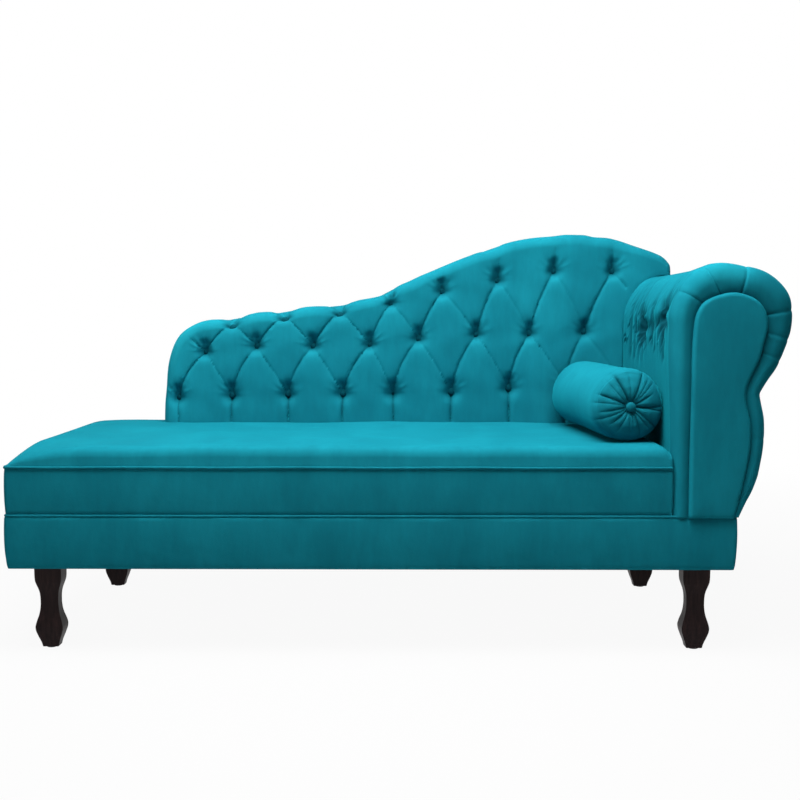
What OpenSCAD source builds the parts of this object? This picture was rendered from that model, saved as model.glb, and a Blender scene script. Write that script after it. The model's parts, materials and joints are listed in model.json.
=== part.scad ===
// Fainting couch: boxed seat, buttoned back with a sloping crest, one scroll arm and a loose bolster.
// The origin is the middle of the footprint on the floor, +X runs to the arm, and the front faces -Y.

/* [Base] */
// Length of the upholstered base, from the open end to the arm end
base_l = 1600; // [1300:10:2000]
// Depth of the base, from the front face to the outside of the back
base_d = 652; // [560:2:760]
// Height of the base's underside above the floor
base_z = 196; // [150:1:260]
// Height of the covered rail, from the underside to the lower piping
rail_h = 116; // [90:1:140]
// Thickness of the pine rails
rail_t = 25; // [18:1:32]
// Thickness of the rail's card and cover
rail_skin = 3; // [2:0.5:5]
// Width of the three cross bearers under the webbing
bearer_w = 45; // [30:1:70]

/* [Seat] */
// Height of the seat's boxing band between its two lines of piping
boxing_h = 107; // [70:1:150]
// Height of the seat's crown above the upper piping
crown_h = 46; // [30:1:60]
// Distance over which the crown falls to the piping
fall_l = 95; // [60:1:130]
// How far the boxing draws in at mid height
boxing_draw = 4; // [2:0.5:5]
// Radius of the rounded corners of seat and base
corner_r = 14; // [8:1:24]
// Radius of the piping
piping_r = 4; // [3:0.5:5]
// Thickness of the velvet covers
cloth_t = 2; // [1.5:0.5:2.5]

/* [Back] */
// Distance of the back's open end from the open end of the base
back_start = 217; // [120:1:400]
// Depth of the back at the seat line, pad and frame together
back_t = 114; // [100:1:140]
// Height of the back's lowest stretch of crest above the seat line
crest_low = 276; // [200:1:330]
// Height of the crest's peak above the seat line
crest_peak = 507; // [420:1:560]
// Thickness of the plywood back panel
panel_t = 12; // [9:1:15]
// Depth of the back's pine posts
post_d = 50; // [35:1:54]
// Width of the back's pine posts
post_w = 45; // [30:1:60]
// How far a button is pulled in behind the pillow tops
tuft_depth = 34; // [20:1:40]
// Depth of the pleats behind the pillow tops
pleat_depth = 13; // [6:1:18]
// Radius of the covered buttons
button_r = 11; // [8:0.5:14]

/* [Arm] */
// Radius of the arm's roll
roll_r = 124; // [100:1:140]
// Height of the roll's centre above the floor
roll_z = 739; // [700:1:780]
// Overhang of the roll past the end of the base
roll_over = 107; // [70:1:130]
// Thickness of the plywood arm boards
arm_board_t = 18; // [12:1:22]
// Distance from the arm's skin in to its boards
arm_pad = 22; // [16:1:30]
// How far the facing board stands proud of the front
facing_proud = 8; // [5:1:14]

/* [Bolster] */
// Radius of the bolster
bolster_r = 75; // [60:1:85]
// Length of the bolster
bolster_l = 420; // [340:5:440]
// Turn of the bolster away from square, front end nearer the arm
bolster_turn = 4; // [0:0.5:5]
// Number of gathers on each end of the bolster
gathers = 20; // [16:2:24]
// Radius of the buttons on the bolster's ends
bolster_button_r = 12; // [9:0.5:15]

/* [Legs] */
// Distance from a base end to a leg's middle
leg_in_x = 71; // [60:1:120]
// Distance from the front or outer back face to a leg's middle
leg_in_y = 62; // [50:1:80]
// Half width of a leg at its top
leg_half_w = 35; // [28:0.5:38]
// Height of the glide that shows under a leg
glide_show = 2; // [1:0.5:4]
// Radius of the glides
glide_r = 12; // [8:0.5:15]
// Radius of the hanger bolts
bolt_r = 4; // [3:0.5:5]

/* [Hidden] */
$fn = 48;

clear = 0.3;
over = 1;
fine = 0.01;

velvet = [0.075, 0.50, 0.58];
velvet_dark = [0.06, 0.40, 0.47];
leg_brown = [0.16, 0.10, 0.10];
pine = [0.80, 0.66, 0.45];
ply = [0.74, 0.58, 0.38];
foam_tint = [0.93, 0.90, 0.78];
steel = [0.62, 0.63, 0.65];
web_tint = [0.20, 0.20, 0.22];
felt = [0.55, 0.55, 0.55];
twine_tint = [0.86, 0.84, 0.76];
dust_tint = [0.07, 0.07, 0.07];
glide_tint = [0.10, 0.10, 0.10];

// Overall frame: the piping stands past the base on the left and at the rear, the roll on the right,
// and the facing board at the front.
piping_proud = 3;
total_l = piping_proud + base_l + roll_over;
total_d = facing_proud + base_d + piping_proud;
x_left = -total_l / 2 + piping_proud;
x_right = x_left + base_l;
y_front = -total_d / 2 + facing_proud;
y_back = total_d / 2 - piping_proud;
seam_z = base_z + rail_h;
welt_z = seam_z + boxing_h;
seat_z = welt_z + crown_h;
dust_t = 1;
web_t = 2;
insulator_t = 3;
foam_z = seam_z;
insulator_z = foam_z - insulator_t;
rail_top = insulator_z - 2 * web_t;

// Arm places
roll_x = x_right + roll_over - roll_r;
arm_in = roll_x - roll_r;
seat_right = arm_in - clear;

// Back places
back_x = x_left + back_start;
back_y = y_back - back_t;
panel_y = y_back - cloth_t - post_d - panel_t;
crest_in = 8;

// A closed shell from a sheet of quads: the outer points, the inner points in the same order, and
// walls along every open edge of the sheet.
function edge_key(a, b, n) = a * n + b;
function edges(quads) = [for (q = quads) each [[q[0], q[1]], [q[1], q[2]], [q[2], q[3]], [q[3], q[0]]]];
function open_edges(es, keys, n) =
    [for (e = es) if (len(search(edge_key(e[1], e[0], n), keys)) == 0) e];
module sheet_solid(outer, inner, quads) {
    n = len(outer);
    es = edges(quads);
    keys = [for (e = es) edge_key(e[0], e[1], n)];
    rim = open_edges(es, keys, n);
    polyhedron(
        points = concat(outer, inner),
        faces = concat(
            [for (q = quads) each [[q[0], q[1], q[2]], [q[0], q[2], q[3]]]],
            [for (q = quads) each [[q[2] + n, q[1] + n, q[0] + n], [q[3] + n, q[2] + n, q[0] + n]]],
            [for (e = rim) each [[e[1], e[0], e[0] + n], [e[1], e[0] + n, e[1] + n]]]
        ),
        convexity = 8
    );
}

// The value of a table of [x, y] rows at x, in straight steps.
function table_at(rows, x) =
    x <= rows[0][0] ? rows[0][1]
    : x >= rows[len(rows) - 1][0] ? rows[len(rows) - 1][1]
    : lookup(x, rows);
function mix(a, b, t) = a + (b - a) * t;
function sum2(a) = a[0] * a[0] + a[1] * a[1];

// A flat outline in X and Z, made a board that stands from y over depth d.
module board_xz(y, d) translate([0, y + d, 0]) rotate([90, 0, 0]) linear_extrude(d) children();
// A block between two corners.
module block(low, high) translate(low) cube([for (i = [0:2]) high[i] - low[i]]);

// Legs, band-sawn from both sides: half widths as shares of the top's, from the sole up.
leg_z_shares = [0, 0.045, 0.14, 0.235, 0.33, 0.425, 0.52, 0.615, 0.71, 0.80, 0.90, 1];
leg_w_shares = [0.50, 0.60, 0.86, 1, 0.88, 0.73, 0.67, 0.69, 0.76, 0.89, 0.99, 1];
leg_chamfer_share = 1.36;
leg_h = base_z - glide_show;
leg_outline = concat(
    [for (i = [0:len(leg_z_shares) - 1]) [leg_half_w * leg_w_shares[i], leg_h * leg_z_shares[i]]],
    [for (i = [len(leg_z_shares) - 1:-1:0]) [-leg_half_w * leg_w_shares[i], leg_h * leg_z_shares[i]]]);
leg_places = [
    [x_left + leg_in_x, y_front + leg_in_y], [x_right - leg_in_x, y_front + leg_in_y],
    [x_left + leg_in_x, y_back - leg_in_y], [x_right - leg_in_x, y_back - leg_in_y]];
bolt_grip = 45;
bolt_up = 55;
pin_r = 1.5;
pin_l = 14;
glide_let_in = 2;
glide_h = glide_show + glide_let_in;
slab_share = 4;
module sawn_slab(width_share) {
    rotate([90, 0, 0]) linear_extrude(slab_share * leg_half_w, center = true)
        polygon([for (p = leg_outline) [p[0] * width_share, p[1]]]);
}
module leg(place) color(leg_brown) translate([place[0], place[1], glide_show]) difference() {
    intersection() {
        sawn_slab(1);
        rotate(90) sawn_slab(1);
        rotate(45) sawn_slab(leg_chamfer_share);
        rotate(-45) sawn_slab(leg_chamfer_share);
    }
    translate([0, 0, leg_h - bolt_grip]) cylinder(r = bolt_r, h = bolt_grip + over);
    translate([0, 0, -over]) cylinder(r = glide_r, h = over + glide_let_in);
    cylinder(r = pin_r, h = glide_h + pin_l);
}
module leg_front_left() leg(leg_places[0]);
module leg_front_right() leg(leg_places[1]);
module leg_rear_left() leg(leg_places[2]);
module leg_rear_right() leg(leg_places[3]);
// Nail-on glides with their pins, let into the soles.
module foot_glides() color(glide_tint) for (p = leg_places) translate([p[0], p[1], 0]) {
    cylinder(r = glide_r, h = glide_h);
    cylinder(r = pin_r, h = glide_show + pin_l);
}
module hanger_bolts() color(steel) for (p = leg_places)
    translate([p[0], p[1], base_z - bolt_grip]) cylinder(r = bolt_r, h = bolt_grip + bolt_up);

// Base frame: four rails, corner blocks that take the legs' bolts, and three bearers.
frame_x0 = x_left + rail_skin;
frame_x1 = x_right - rail_skin;
frame_y0 = y_front + rail_skin;
frame_y1 = y_back - rail_skin;
rail_z = base_z + dust_t;
// The base's plan with its rounded corners, drawn in from the covered faces.
module base_plan(inset) {
    r = corner_r - inset;
    w = base_l - 2 * corner_r;
    d = base_d - 2 * corner_r;
    translate([x_left + corner_r, y_front + corner_r]) {
        translate([-r, 0]) square([w + 2 * r, d]);
        translate([0, -r]) square([w, d + 2 * r]);
        for (x = [0, w], y = [0, d]) translate([x, y]) circle(r);
    }
}
module long_rail(y) intersection() {
    block([frame_x0, y, rail_z], [frame_x1, y + rail_t, rail_top]);
    translate([0, 0, rail_z]) linear_extrude(rail_top - rail_z) base_plan(rail_skin);
}
module front_rail() color(pine) long_rail(frame_y0);
module rear_rail() color(pine) difference() {
    long_rail(frame_y1 - rail_t);
    back_bolt_bores(back_bolt_r);
}
module left_end_rail() color(pine)
    block([frame_x0, frame_y0 + rail_t, rail_z], [frame_x0 + rail_t, frame_y1 - rail_t, rail_top]);
module right_end_rail() color(pine)
    block([frame_x1 - rail_t, frame_y0 + rail_t, rail_z], [frame_x1, frame_y1 - rail_t, rail_top]);
bearer_shares = [0.25, 0.5, 0.75];
bearer_drop = 8;
bearer_h = 60;
bearer_xs = [for (s = bearer_shares) mix(frame_x0, frame_x1, s)];
module bearer(x) color(pine)
    block([x - bearer_w / 2, frame_y0 + rail_t, rail_top - bearer_drop - bearer_h],
        [x + bearer_w / 2, frame_y1 - rail_t, rail_top - bearer_drop]);
module cross_bearer_left() bearer(bearer_xs[0]);
module cross_bearer_middle() bearer(bearer_xs[1]);
module cross_bearer_right() bearer(bearer_xs[2]);
block_l = 84;
block_h = 45;
block_nose_share = 0.33;
nut_r = 11;
nut_barrel_r = 6;
nut_barrel_h = 12;
nut_plate_t = 2;
module corner_block(sx, sy, place) {
    x = sx < 0 ? frame_x0 + rail_t : frame_x1 - rail_t;
    y = sy < 0 ? frame_y0 + rail_t : frame_y1 - rail_t;
    difference() {
        translate([x, y, rail_z]) mirror([sx > 0 ? 1 : 0, 0, 0]) mirror([0, sy > 0 ? 1 : 0, 0])
            linear_extrude(block_h) polygon([[0, 0], [block_l, 0], [block_l, block_l * block_nose_share],
                [block_l * block_nose_share, block_l], [0, block_l]]);
        translate([place[0], place[1], rail_z - over]) cylinder(r = bolt_r, h = block_h + 2 * over);
        translate([place[0], place[1], rail_z + block_h - nut_barrel_h])
            cylinder(r = nut_barrel_r, h = nut_barrel_h + over);
    }
}
module corner_blocks() color(pine) {
    corner_block(-1, -1, leg_places[0]);
    corner_block(1, -1, leg_places[1]);
    corner_block(-1, 1, leg_places[2]);
    corner_block(1, 1, leg_places[3]);
}
// Tee nuts on the corner blocks, which the hanger bolts screw into.
module tee_nuts() color(steel) for (p = leg_places)
    translate([p[0], p[1], rail_z + block_h - nut_barrel_h]) difference() {
        union() {
            cylinder(r = nut_barrel_r, h = nut_barrel_h);
            translate([0, 0, nut_barrel_h]) cylinder(r = nut_r, h = nut_plate_t);
        }
        translate([0, 0, -over]) cylinder(r = bolt_r, h = nut_barrel_h + nut_plate_t + 2 * over);
    }
// Countersunk screws through the long rails into the end rails and the bearers.
screw_r = 2.5;
screw_head_r = 5;
screw_head_h = 3;
screw_l = 60;
end_screw_share = 0.68;
screw_z_shares = [0.3, 0.72];
module screw_row(z) for (x = concat([frame_x0 + rail_t * end_screw_share], bearer_xs,
    [frame_x1 - rail_t * end_screw_share]),
    side = [0, 1]) translate([x, side == 0 ? frame_y0 : frame_y1, z])
        rotate([side == 0 ? -90 : 90, 0, 0]) {
            cylinder(r1 = screw_head_r, r2 = screw_r, h = screw_head_h);
            cylinder(r = screw_r, h = screw_l);
        }
screw_zs = [for (s = screw_z_shares) mix(rail_top - bearer_drop - bearer_h, rail_top - bearer_drop, s)];
module frame_screws() color(steel) for (z = screw_zs) screw_row(z);

// Elastic webbing over the rails: long strands laid over cross strands.
web_w = 45;
web_first = 27;
web_end_in = 6;
web_long_count = 5;
web_cross_count = 10;
web_x1 = seat_right - arm_pad;
function web_y(i) = mix(frame_y0 + rail_t + web_w, back_y - web_w / 2, i / (web_long_count - 1));
function web_x(i) = mix(frame_x0 + rail_t + web_first, web_x1 - web_w - web_end_in, i / (web_cross_count - 1));
module seat_webbing_crosswise() color(web_tint) for (i = [0:web_cross_count - 1])
    block([web_x(i) - web_w / 2, frame_y0 + web_end_in, rail_top],
        [web_x(i) + web_w / 2, frame_y1 - rail_t + web_end_in, rail_top + web_t]);
module seat_webbing_lengthwise() color(web_tint) for (i = [0:web_long_count - 1])
    block([frame_x0 + web_end_in, web_y(i) - web_w / 2, rail_top + web_t],
        [frame_x1 - rail_t + web_end_in, web_y(i) + web_w / 2, rail_top + 2 * web_t]);
staple_w = 12;
staple_t = 1.2;
staple_leg = 8;
module staple_x(x, y, z, leg_l) translate([x, y, z]) {
    block([-staple_w / 2, -staple_t / 2, 0], [staple_w / 2, staple_t / 2, staple_t]);
    block([-staple_w / 2, -staple_t / 2, -leg_l], [staple_t - staple_w / 2, staple_t / 2, 0]);
    block([staple_w / 2 - staple_t, -staple_t / 2, -leg_l], [staple_w / 2, staple_t / 2, 0]);
}
module webbing_staples() color(steel) {
    for (i = [0:web_cross_count - 1], y = [frame_y0 + rail_t / 2, frame_y1 - rail_t / 2])
        staple_x(web_x(i), y, rail_top + web_t, staple_leg);
    for (i = [0:web_long_count - 1], x = [frame_x0 + rail_t / 2, frame_x1 - rail_t / 2])
        translate([x, web_y(i), 0]) rotate(90) staple_x(0, 0, rail_top + 2 * web_t, staple_leg);
}
// Felt over the webbing, cut round the back's posts.
foam_side = cloth_t + boxing_draw + clear;
module seat_plan(inset) difference() {
    intersection() {
        base_plan(inset);
        translate([x_left, y_front]) square([seat_right - x_left, base_d]);
    }
    translate([back_x - clear, back_y - clear]) square([base_l, base_d]);
}
module seat_insulator() color(felt) translate([0, 0, insulator_z + staple_t])
    linear_extrude(insulator_t - staple_t) seat_plan(foam_side);

piping_in = piping_r - piping_proud;
seam_in = piping_in + piping_r + clear;
// Seat surface: lines across it, closest where the crown falls to the piping.
fall_shares = [0, 0.07, 0.2, 0.4, 0.66, 1];
fall = [for (s = fall_shares) s * fall_l];
seat_x_shares = [0.18, 0.37, 0.56, 0.75, 0.9, 1];
side_l = back_x - clear - x_left;
side_w = y_back - back_y + clear;
function seat_xs(inset) = concat([for (f = fall) x_left + inset + f],
    [back_x - clear], [for (s = seat_x_shares) mix(back_x, seat_right, s)]);
function seat_ys(inset) = concat([for (f = fall) y_front + inset + f],
    [mix(y_front + fall_l, back_y, 0.5), back_y - clear],
    [for (i = [4:-1:0]) y_back - inset - fall[i]]);
fall_power = 2.2;
function eased(d) = d >= fall_l ? 1 : pow(1 - pow(1 - max(0, d) / fall_l, fall_power), 0.5);
dome_share = 0.12;
function across(x) = (x - x_left) / (seat_right - x_left);
function seat_height(x, y, inset) =
    let(dl = x - x_left - inset, df = y - y_front - inset,
        dr = x < back_x ? y_back - inset - y : fall_l,
        rise = eased(dl) * eased(df) * eased(dr),
        dome = sin(180 * min(1, max(0, across(x)))))
    crown_h * rise * (1 - dome_share + dome_share * dome);
// A square corner drawn onto the rounded corner of the band.
function rounded(x, y, inset) =
    let(r = corner_r - inset, cx = x_left + corner_r,
        cy = y < 0 ? y_front + corner_r : y_back - corner_r,
        v = [cx - x, y < 0 ? cy - y : y - cy])
    v[0] > 0 && v[1] > 0
        ? let(k = max(v) / sqrt(sum2(v))) [cx - v[0] * k, y < 0 ? cy - v[1] * k : cy + v[1] * k]
        : [x, y];
function seat_points(inset, drop) = let(xs = seat_xs(inset), ys = seat_ys(inset))
    [for (y = ys, x = xs) let(p = rounded(x, y, inset))
        [p[0], p[1], welt_z - drop + seat_height(x, y, inset)]];
function seat_flat(inset, z) = let(xs = seat_xs(inset), ys = seat_ys(inset))
    [for (y = ys, x = xs) let(p = rounded(x, y, inset)) [p[0], p[1], z]];
seat_nx = len(seat_xs(0));
seat_ny = len(seat_ys(0));
seat_quads = [for (j = [0:seat_ny - 2], i = [0:seat_nx - 2])
    if (!(i >= len(fall) && j >= len(fall) + 1))
        let(a = j * seat_nx + i) [a, a + seat_nx, a + seat_nx + 1, a + 1]];
module seat_top_cover() color(velvet)
    sheet_solid(seat_points(seam_in, 0), seat_points(seam_in + fine, cloth_t), seat_quads);
module seat_foam() color(foam_tint)
    sheet_solid(seat_points(foam_side, cloth_t + clear), seat_flat(foam_side, foam_z), seat_quads);

// A band that runs round the seat or base: its section has x out from the face and y up. The run
// goes along the front, round the open end and along the back, as far as each end value.
module face_run(length) rotate([90, 0, 90]) linear_extrude(length) children();
module corner_run() rotate_extrude(angle = 90) translate([corner_r, 0]) children();
module band_round(front_end, rear_end) {
    translate([x_left + corner_r, y_front, 0]) mirror([0, 1, 0])
        face_run(front_end - x_left - corner_r) children();
    translate([x_left + corner_r, y_front + corner_r, 0]) rotate(180) corner_run() children();
    translate([x_left, y_front + corner_r, 0]) rotate(90) face_run(base_d - 2 * corner_r) children();
    translate([x_left + corner_r, y_back - corner_r, 0]) rotate(90) corner_run() children();
    translate([x_left + corner_r, y_back, 0]) face_run(rear_end - x_left - corner_r) children();
}
module band_closed() {
    band_round(x_right - corner_r, x_right - corner_r) children();
    translate([x_right - corner_r, y_front + corner_r, 0]) rotate(-90) corner_run() children();
    translate([x_right, y_back - corner_r, 0]) rotate(-90) face_run(base_d - 2 * corner_r) children();
    translate([x_right - corner_r, y_back - corner_r, 0]) corner_run() children();
}
// The drawn-in section of the boxing, between the two lines of piping.
boxing_steps = 4;
box_z0 = seam_z + piping_r;
box_z1 = welt_z - piping_r;
function drawn(i) = -boxing_draw * sin(180 * i / boxing_steps);
module seat_boxing() color(velvet_dark) band_round(seat_right, back_x - clear)
    polygon(concat(
        [for (i = [0:boxing_steps]) [drawn(i), mix(box_z0, box_z1, i / boxing_steps)]],
        [for (i = [boxing_steps:-1:0]) [drawn(i) - cloth_t, mix(box_z0, box_z1, i / boxing_steps)]]));
module upper_piping() color(velvet_dark) band_round(seat_right, back_x - clear)
    translate([-piping_in, welt_z]) circle(piping_r);
module lower_piping() color(velvet_dark) band_closed()
    translate([-piping_in, seam_z]) circle(piping_r);
module rail_cover() color(velvet_dark) band_closed()
    translate([-rail_skin, base_z]) square([rail_skin, rail_h - piping_r]);
module dust_cover() color(dust_tint) translate([0, 0, base_z]) linear_extrude(dust_t) difference() {
    base_plan(rail_skin);
    for (p = leg_places) translate(p) circle(bolt_r);
}

// Back: places along it are counted in half button spaces, from the open end's first button.
back_l = roll_x - back_x;
back_h = crest_peak;
crest_x_shares = [0.002, 0.0095, 0.018, 0.0285, 0.0476, 0.0805, 0.111, 0.149, 0.19, 0.23, 0.27,
    0.31, 0.351, 0.391, 0.43, 0.471, 0.511, 0.5505, 0.591, 0.63, 0.67, 0.709, 0.75, 0.789, 0.818,
    0.8485, 0.889, 0.928, 0.9685, 0.988, 0.9985];
crest_z_shares = [0.209, 0.343, 0.418, 0.4635, 0.503, 0.538, 0.546, 0.564, 0.586, 0.59, 0.613,
    0.621, 0.629, 0.657, 0.68, 0.738, 0.785, 0.832, 0.876, 0.913, 0.951, 0.976, 0.988, 0.998, 1,
    0.996, 0.982, 0.949, 0.913, 0.886, 0.864];
low_share = 0.544;
function crest_z_of(s) = s <= low_share ? s / low_share * crest_low
    : crest_low + (s - low_share) / (1 - low_share) * (crest_peak - crest_low);
crest_table = [for (i = [0:len(crest_x_shares) - 1])
    [back_x + back_l * crest_x_shares[i], seat_z + crest_z_of(crest_z_shares[i])]];
function crest(x) = table_at(crest_table, x);

// The three rows of buttons: along as shares of the back's length, up as shares of its peak.
low_x_shares = [0.03, 0.137, 0.248, 0.357, 0.457, 0.573, 0.686, 0.799, 0.91];
low_z_shares = [0.131, 0.14, 0.147, 0.152, 0.155, 0.158, 0.18, 0.192, 0.195];
mid_x_shares = [0.086, 0.187, 0.299, 0.411, 0.507, 0.622, 0.726, 0.834];
mid_z_shares = [0.374, 0.402, 0.405, 0.412, 0.445, 0.465, 0.47, 0.48];
top_x_shares = [0.14, 0.242, 0.352, 0.452, 0.554, 0.663, 0.773, 0.887];
top_z_shares = [0.528, 0.568, 0.587, 0.634, 0.695, 0.752, 0.798, 0.798];
last = 16;
end_share = (seat_right - back_x) / back_l;
low_xs = [for (i = [0:8]) [2 * i, i == 8 ? end_share : low_x_shares[i]]];
low_zs = [for (i = [0:8]) [2 * i, low_z_shares[i]]];
end_x_shares = [0.036, 0.045];
end_z_shares = [0.36, 0.42];
mid_xs = concat([[0, end_x_shares[0]]], [for (i = [0:7]) [2 * i + 1, mid_x_shares[i]]], [[last, end_share]]);
mid_zs = concat([[0, end_z_shares[0]]], [for (i = [0:7]) [2 * i + 1, mid_z_shares[i]]]);
top_xs = concat([[0, end_x_shares[1]]], [for (i = [0:7]) [2 * i + 2, top_x_shares[i]]]);
top_zs = concat([[0, end_z_shares[1]]], [for (i = [0:7]) [2 * i + 2, top_z_shares[i]]]);
function row_point(xs, zs, i) =
    [back_x + back_l * table_at(xs, i), seat_z + back_h * table_at(zs, i)];
crest_col_shares = [[0, 0.06], [1, 0.1], [2, 0.15], [4, 0.248], [6, 0.356], [8, 0.455], [10, 0.558],
    [12, 0.668], [14, 0.775], [16, 0.885]];
function crest_point(i) = let(x = back_x + back_l * table_at(crest_col_shares, i)) [x, crest(x)];
// The pad's grid: rows from the deck to the crest, columns from the open end to the arm, and past
// the arm's inner face only the rows that lie above the roll.
row_low = 3;
row_mid = 7;
row_top = 11;
row_crest = 13;
pad_z0 = seam_z + piping_r;
start_z = seat_z + 2 * cloth_t;
// The open end's outline: along the back against up, both as shares.
end_outline_shares = [[0, 0], [0.209, 0.002], [0.343, 0.0095], [0.418, 0.018], [0.4635, 0.0285]];
left_z_shares = [0, 0.009, 0.07, 0.13, 0.174, 0.217, 0.26, 0.304, 0.333, 0.363, 0.393, 0.422, 0.444,
    0.4635];
function outline_x(z) = back_x + back_l * lookup((z - seat_z) / back_h, end_outline_shares);
roll_gap = 5;
shoulder_angles = [158, 138, 116, 90];
shoulder_is = [16.3, 16.7, 17.2, 17.9];
shoulder_crest_shares = [0.915, 0.94, 0.968, 0.9985];
cols = concat([-0.55], [for (i = [0:2 * last]) i / 2], shoulder_is);
n_cols = len(cols);
n_plain = 2 * last + 2;
function arc_point(k) = [roll_x + (roll_r + roll_gap) * cos(shoulder_angles[k]),
    roll_z + (roll_r + roll_gap) * sin(shoulder_angles[k])];
function left_point(j) = let(z = j == 0 ? pad_z0 : seat_z + back_h * left_z_shares[j])
    [outline_x(max(z, seat_z)), z];
function low_point(i) = row_point(low_xs, low_zs, i);
function mid_point(i) = i == last ? [seat_right, roll_z] : row_point(mid_xs, mid_zs, i);
function top_point(i) = row_point(top_xs, top_zs, i);
function plain_point(c, j) = let(i = cols[c])
    c == 0 ? left_point(j)
    : j == 0 ? [low_point(i)[0], pad_z0]
    : j == 1 ? [low_point(i)[0], start_z]
    : j < row_low ? mix([low_point(i)[0], start_z], low_point(i), (j - 1) / (row_low - 1))
    : j <= row_mid ? mix(low_point(i), mid_point(i), (j - row_low) / (row_mid - row_low))
    : j <= row_top ? mix(mid_point(i), top_point(i), (j - row_mid) / (row_top - row_mid))
    : mix(top_point(i), crest_point(i), (j - row_top) / (row_crest - row_top));
function shoulder_point(c, j) = let(k = c - n_plain, low = arc_point(k),
        x = back_x + back_l * shoulder_crest_shares[k], high = [x, crest(x)])
    j <= row_mid ? low : mix(low, high, (j - row_mid) / (row_crest - row_mid));
function pad_point(c, j) = c < n_plain ? plain_point(c, j) : shoulder_point(c, j);

// How full the pad is at a place, 0 along a pleat and 1 on a pillow's top.
function row_of(j) = j <= row_low ? (j - row_low) / row_low : (j - row_low) / (row_mid - row_low);
function fullness(i, j) = let(r = row_of(j))
    j <= row_low || j >= row_top ? abs(sin(90 * i))
    : sqrt(abs(sin(90 * (i + r)) * sin(90 * (i - r))));
function is_button(i, j) = i >= 0 && i <= last && i == floor(i) &&
    (j == row_low ? i % 2 == 0 && i < last
        : j == row_mid ? i % 2 == 1
        : j == row_top ? i % 2 == 0 && i > 0 : false);
pillow_proud = 10;
edge_back = 14;
crest_pleat_share = 0.7;
shoulder_pleat_share = 0.4;
tuft_run = 34;
pit_flat = 7;
pillow_y = back_y - pillow_proud;
// The pad slopes down to each button no more steeply than the button's width allows.
function pulled_to(p) = max([for (b = buttons)
    pit_y - max(0, norm(p - b) - pit_flat) * tuft_depth / (tuft_run - pit_flat)]);
function pad_y(c, j) = j <= 1 ? back_y
    : min(max(plain_y(c, j), pulled_to(pad_point(c, j))), j > row_top ? back_y + edge_back : y_back);
function plain_y(c, j) = let(i = cols[c])
    j <= 1 ? back_y
    : j == row_crest || c == 0 ? back_y + edge_back
    : c >= n_plain ? pillow_y + pleat_depth * (c == n_cols - 1 ? 1 : shoulder_pleat_share)
    : is_button(i, j) ? pillow_y + tuft_depth
    : j > row_top && i > 0 && i % 2 == 0 ? pillow_y + tuft_depth * crest_pleat_share
    : pillow_y + pleat_depth * (1 - fullness(i, j));

// The edge of the pad runs up the open end and along the crest, then turns over to the rear.
edge_count = row_crest + n_cols;
function edge_col(b) = b <= row_crest ? 0 : b - row_crest;
function edge_row(b) = b <= row_crest ? b : row_crest;
// Outward direction in X and Z of the pad's edge.
function outward(b) = b < row_crest ? [-1, 0] : b == row_crest ? [-1, 1] / sqrt(2) : [0, 1];
edge_round = 4;
edge_mid_share = 0.33;
edge_mid_y = back_y + back_t * edge_mid_share;
wrap_y = y_back - cloth_t - clear;
function skin_front(drop) = [for (j = [0:row_crest], c = [0:n_cols - 1])
    let(p = pad_point(c, j), b = c == 0 ? j : row_crest + c, at_edge = c == 0 || j == row_crest,
        q = at_edge ? p - (edge_round + drop) * outward(b) : p)
    [q[0], pad_y(c, j) + drop, q[1]]];
function skin_edge(drop, y) = [for (b = [0:edge_count - 1])
    let(q = pad_point(edge_col(b), edge_row(b)) - drop * outward(b)) [q[0], y, q[1]]];
// The panel's own face under the pad, drawn in from the pad's edge.
draw_w = 120;
function panel_face_point(c, j) = let(p = pad_point(c, j), low = c < n_plain - 1 ? pad_z0
        : pad_point(c, row_mid)[1], top = c == 0 ? seat_z + back_h * left_z_shares[row_crest]
        : pad_point(c, row_crest)[1],
        t = max(0, (p[1] - low) / (top - low)), s = max(0, 1 - (p[0] - back_x) / draw_w))
    [p[0] + crest_in * s, p[1] - crest_in * t];
function panel_front(y) = [for (j = [0:row_crest], c = [0:n_cols - 1])
    let(q = panel_face_point(c, j)) [q[0], y, q[1]]];
function panel_edge(y) = [for (b = [0:edge_count - 1])
    let(q = panel_face_point(edge_col(b), edge_row(b))) [q[0], y, q[1]]];
n_front = (row_crest + 1) * n_cols;
function pad_index(c, j) = j * n_cols + c;
function edge_index(b, k) = k == 0 ? pad_index(edge_col(b), edge_row(b))
    : n_front + (k - 1) * edge_count + b;
pad_quads = concat(
    [for (j = [0:row_crest - 1], c = [0:n_cols - 2]) if (c < n_plain - 1 || j >= row_mid)
        [pad_index(c, j), pad_index(c, j + 1), pad_index(c + 1, j + 1), pad_index(c + 1, j)]],
    [for (b = [0:edge_count - 2], k = [0:1])
        [edge_index(b, k), edge_index(b, k + 1), edge_index(b + 1, k + 1), edge_index(b + 1, k)]]);
buttons = concat(
    [for (i = [0:7]) concat(low_point(2 * i))],
    [for (i = [0:7]) concat(mid_point(2 * i + 1))],
    [for (i = [0:7]) concat(top_point(2 * i + 2))]);
pit_y = pillow_y + tuft_depth;
twine_r = 1;
foam_hole_r = 6;
module along_y(p, y, length, r) translate([p[0], y, p[1]]) rotate([-90, 0, 0])
    cylinder(r = r, h = length);
module back_tufted_cover() color(velvet) difference() {
    sheet_solid(
        concat(skin_front(0), skin_edge(0, edge_mid_y), skin_edge(0, wrap_y)),
        concat(skin_front(cloth_t), skin_edge(cloth_t, edge_mid_y), skin_edge(cloth_t, wrap_y)),
        pad_quads);
    for (p = buttons) along_y(p, pit_y - pleat_depth, 2 * pleat_depth, twine_r);
}
skin_in = cloth_t + clear;
foam_face = panel_y - clear;
edge_share = 0.4;
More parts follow.
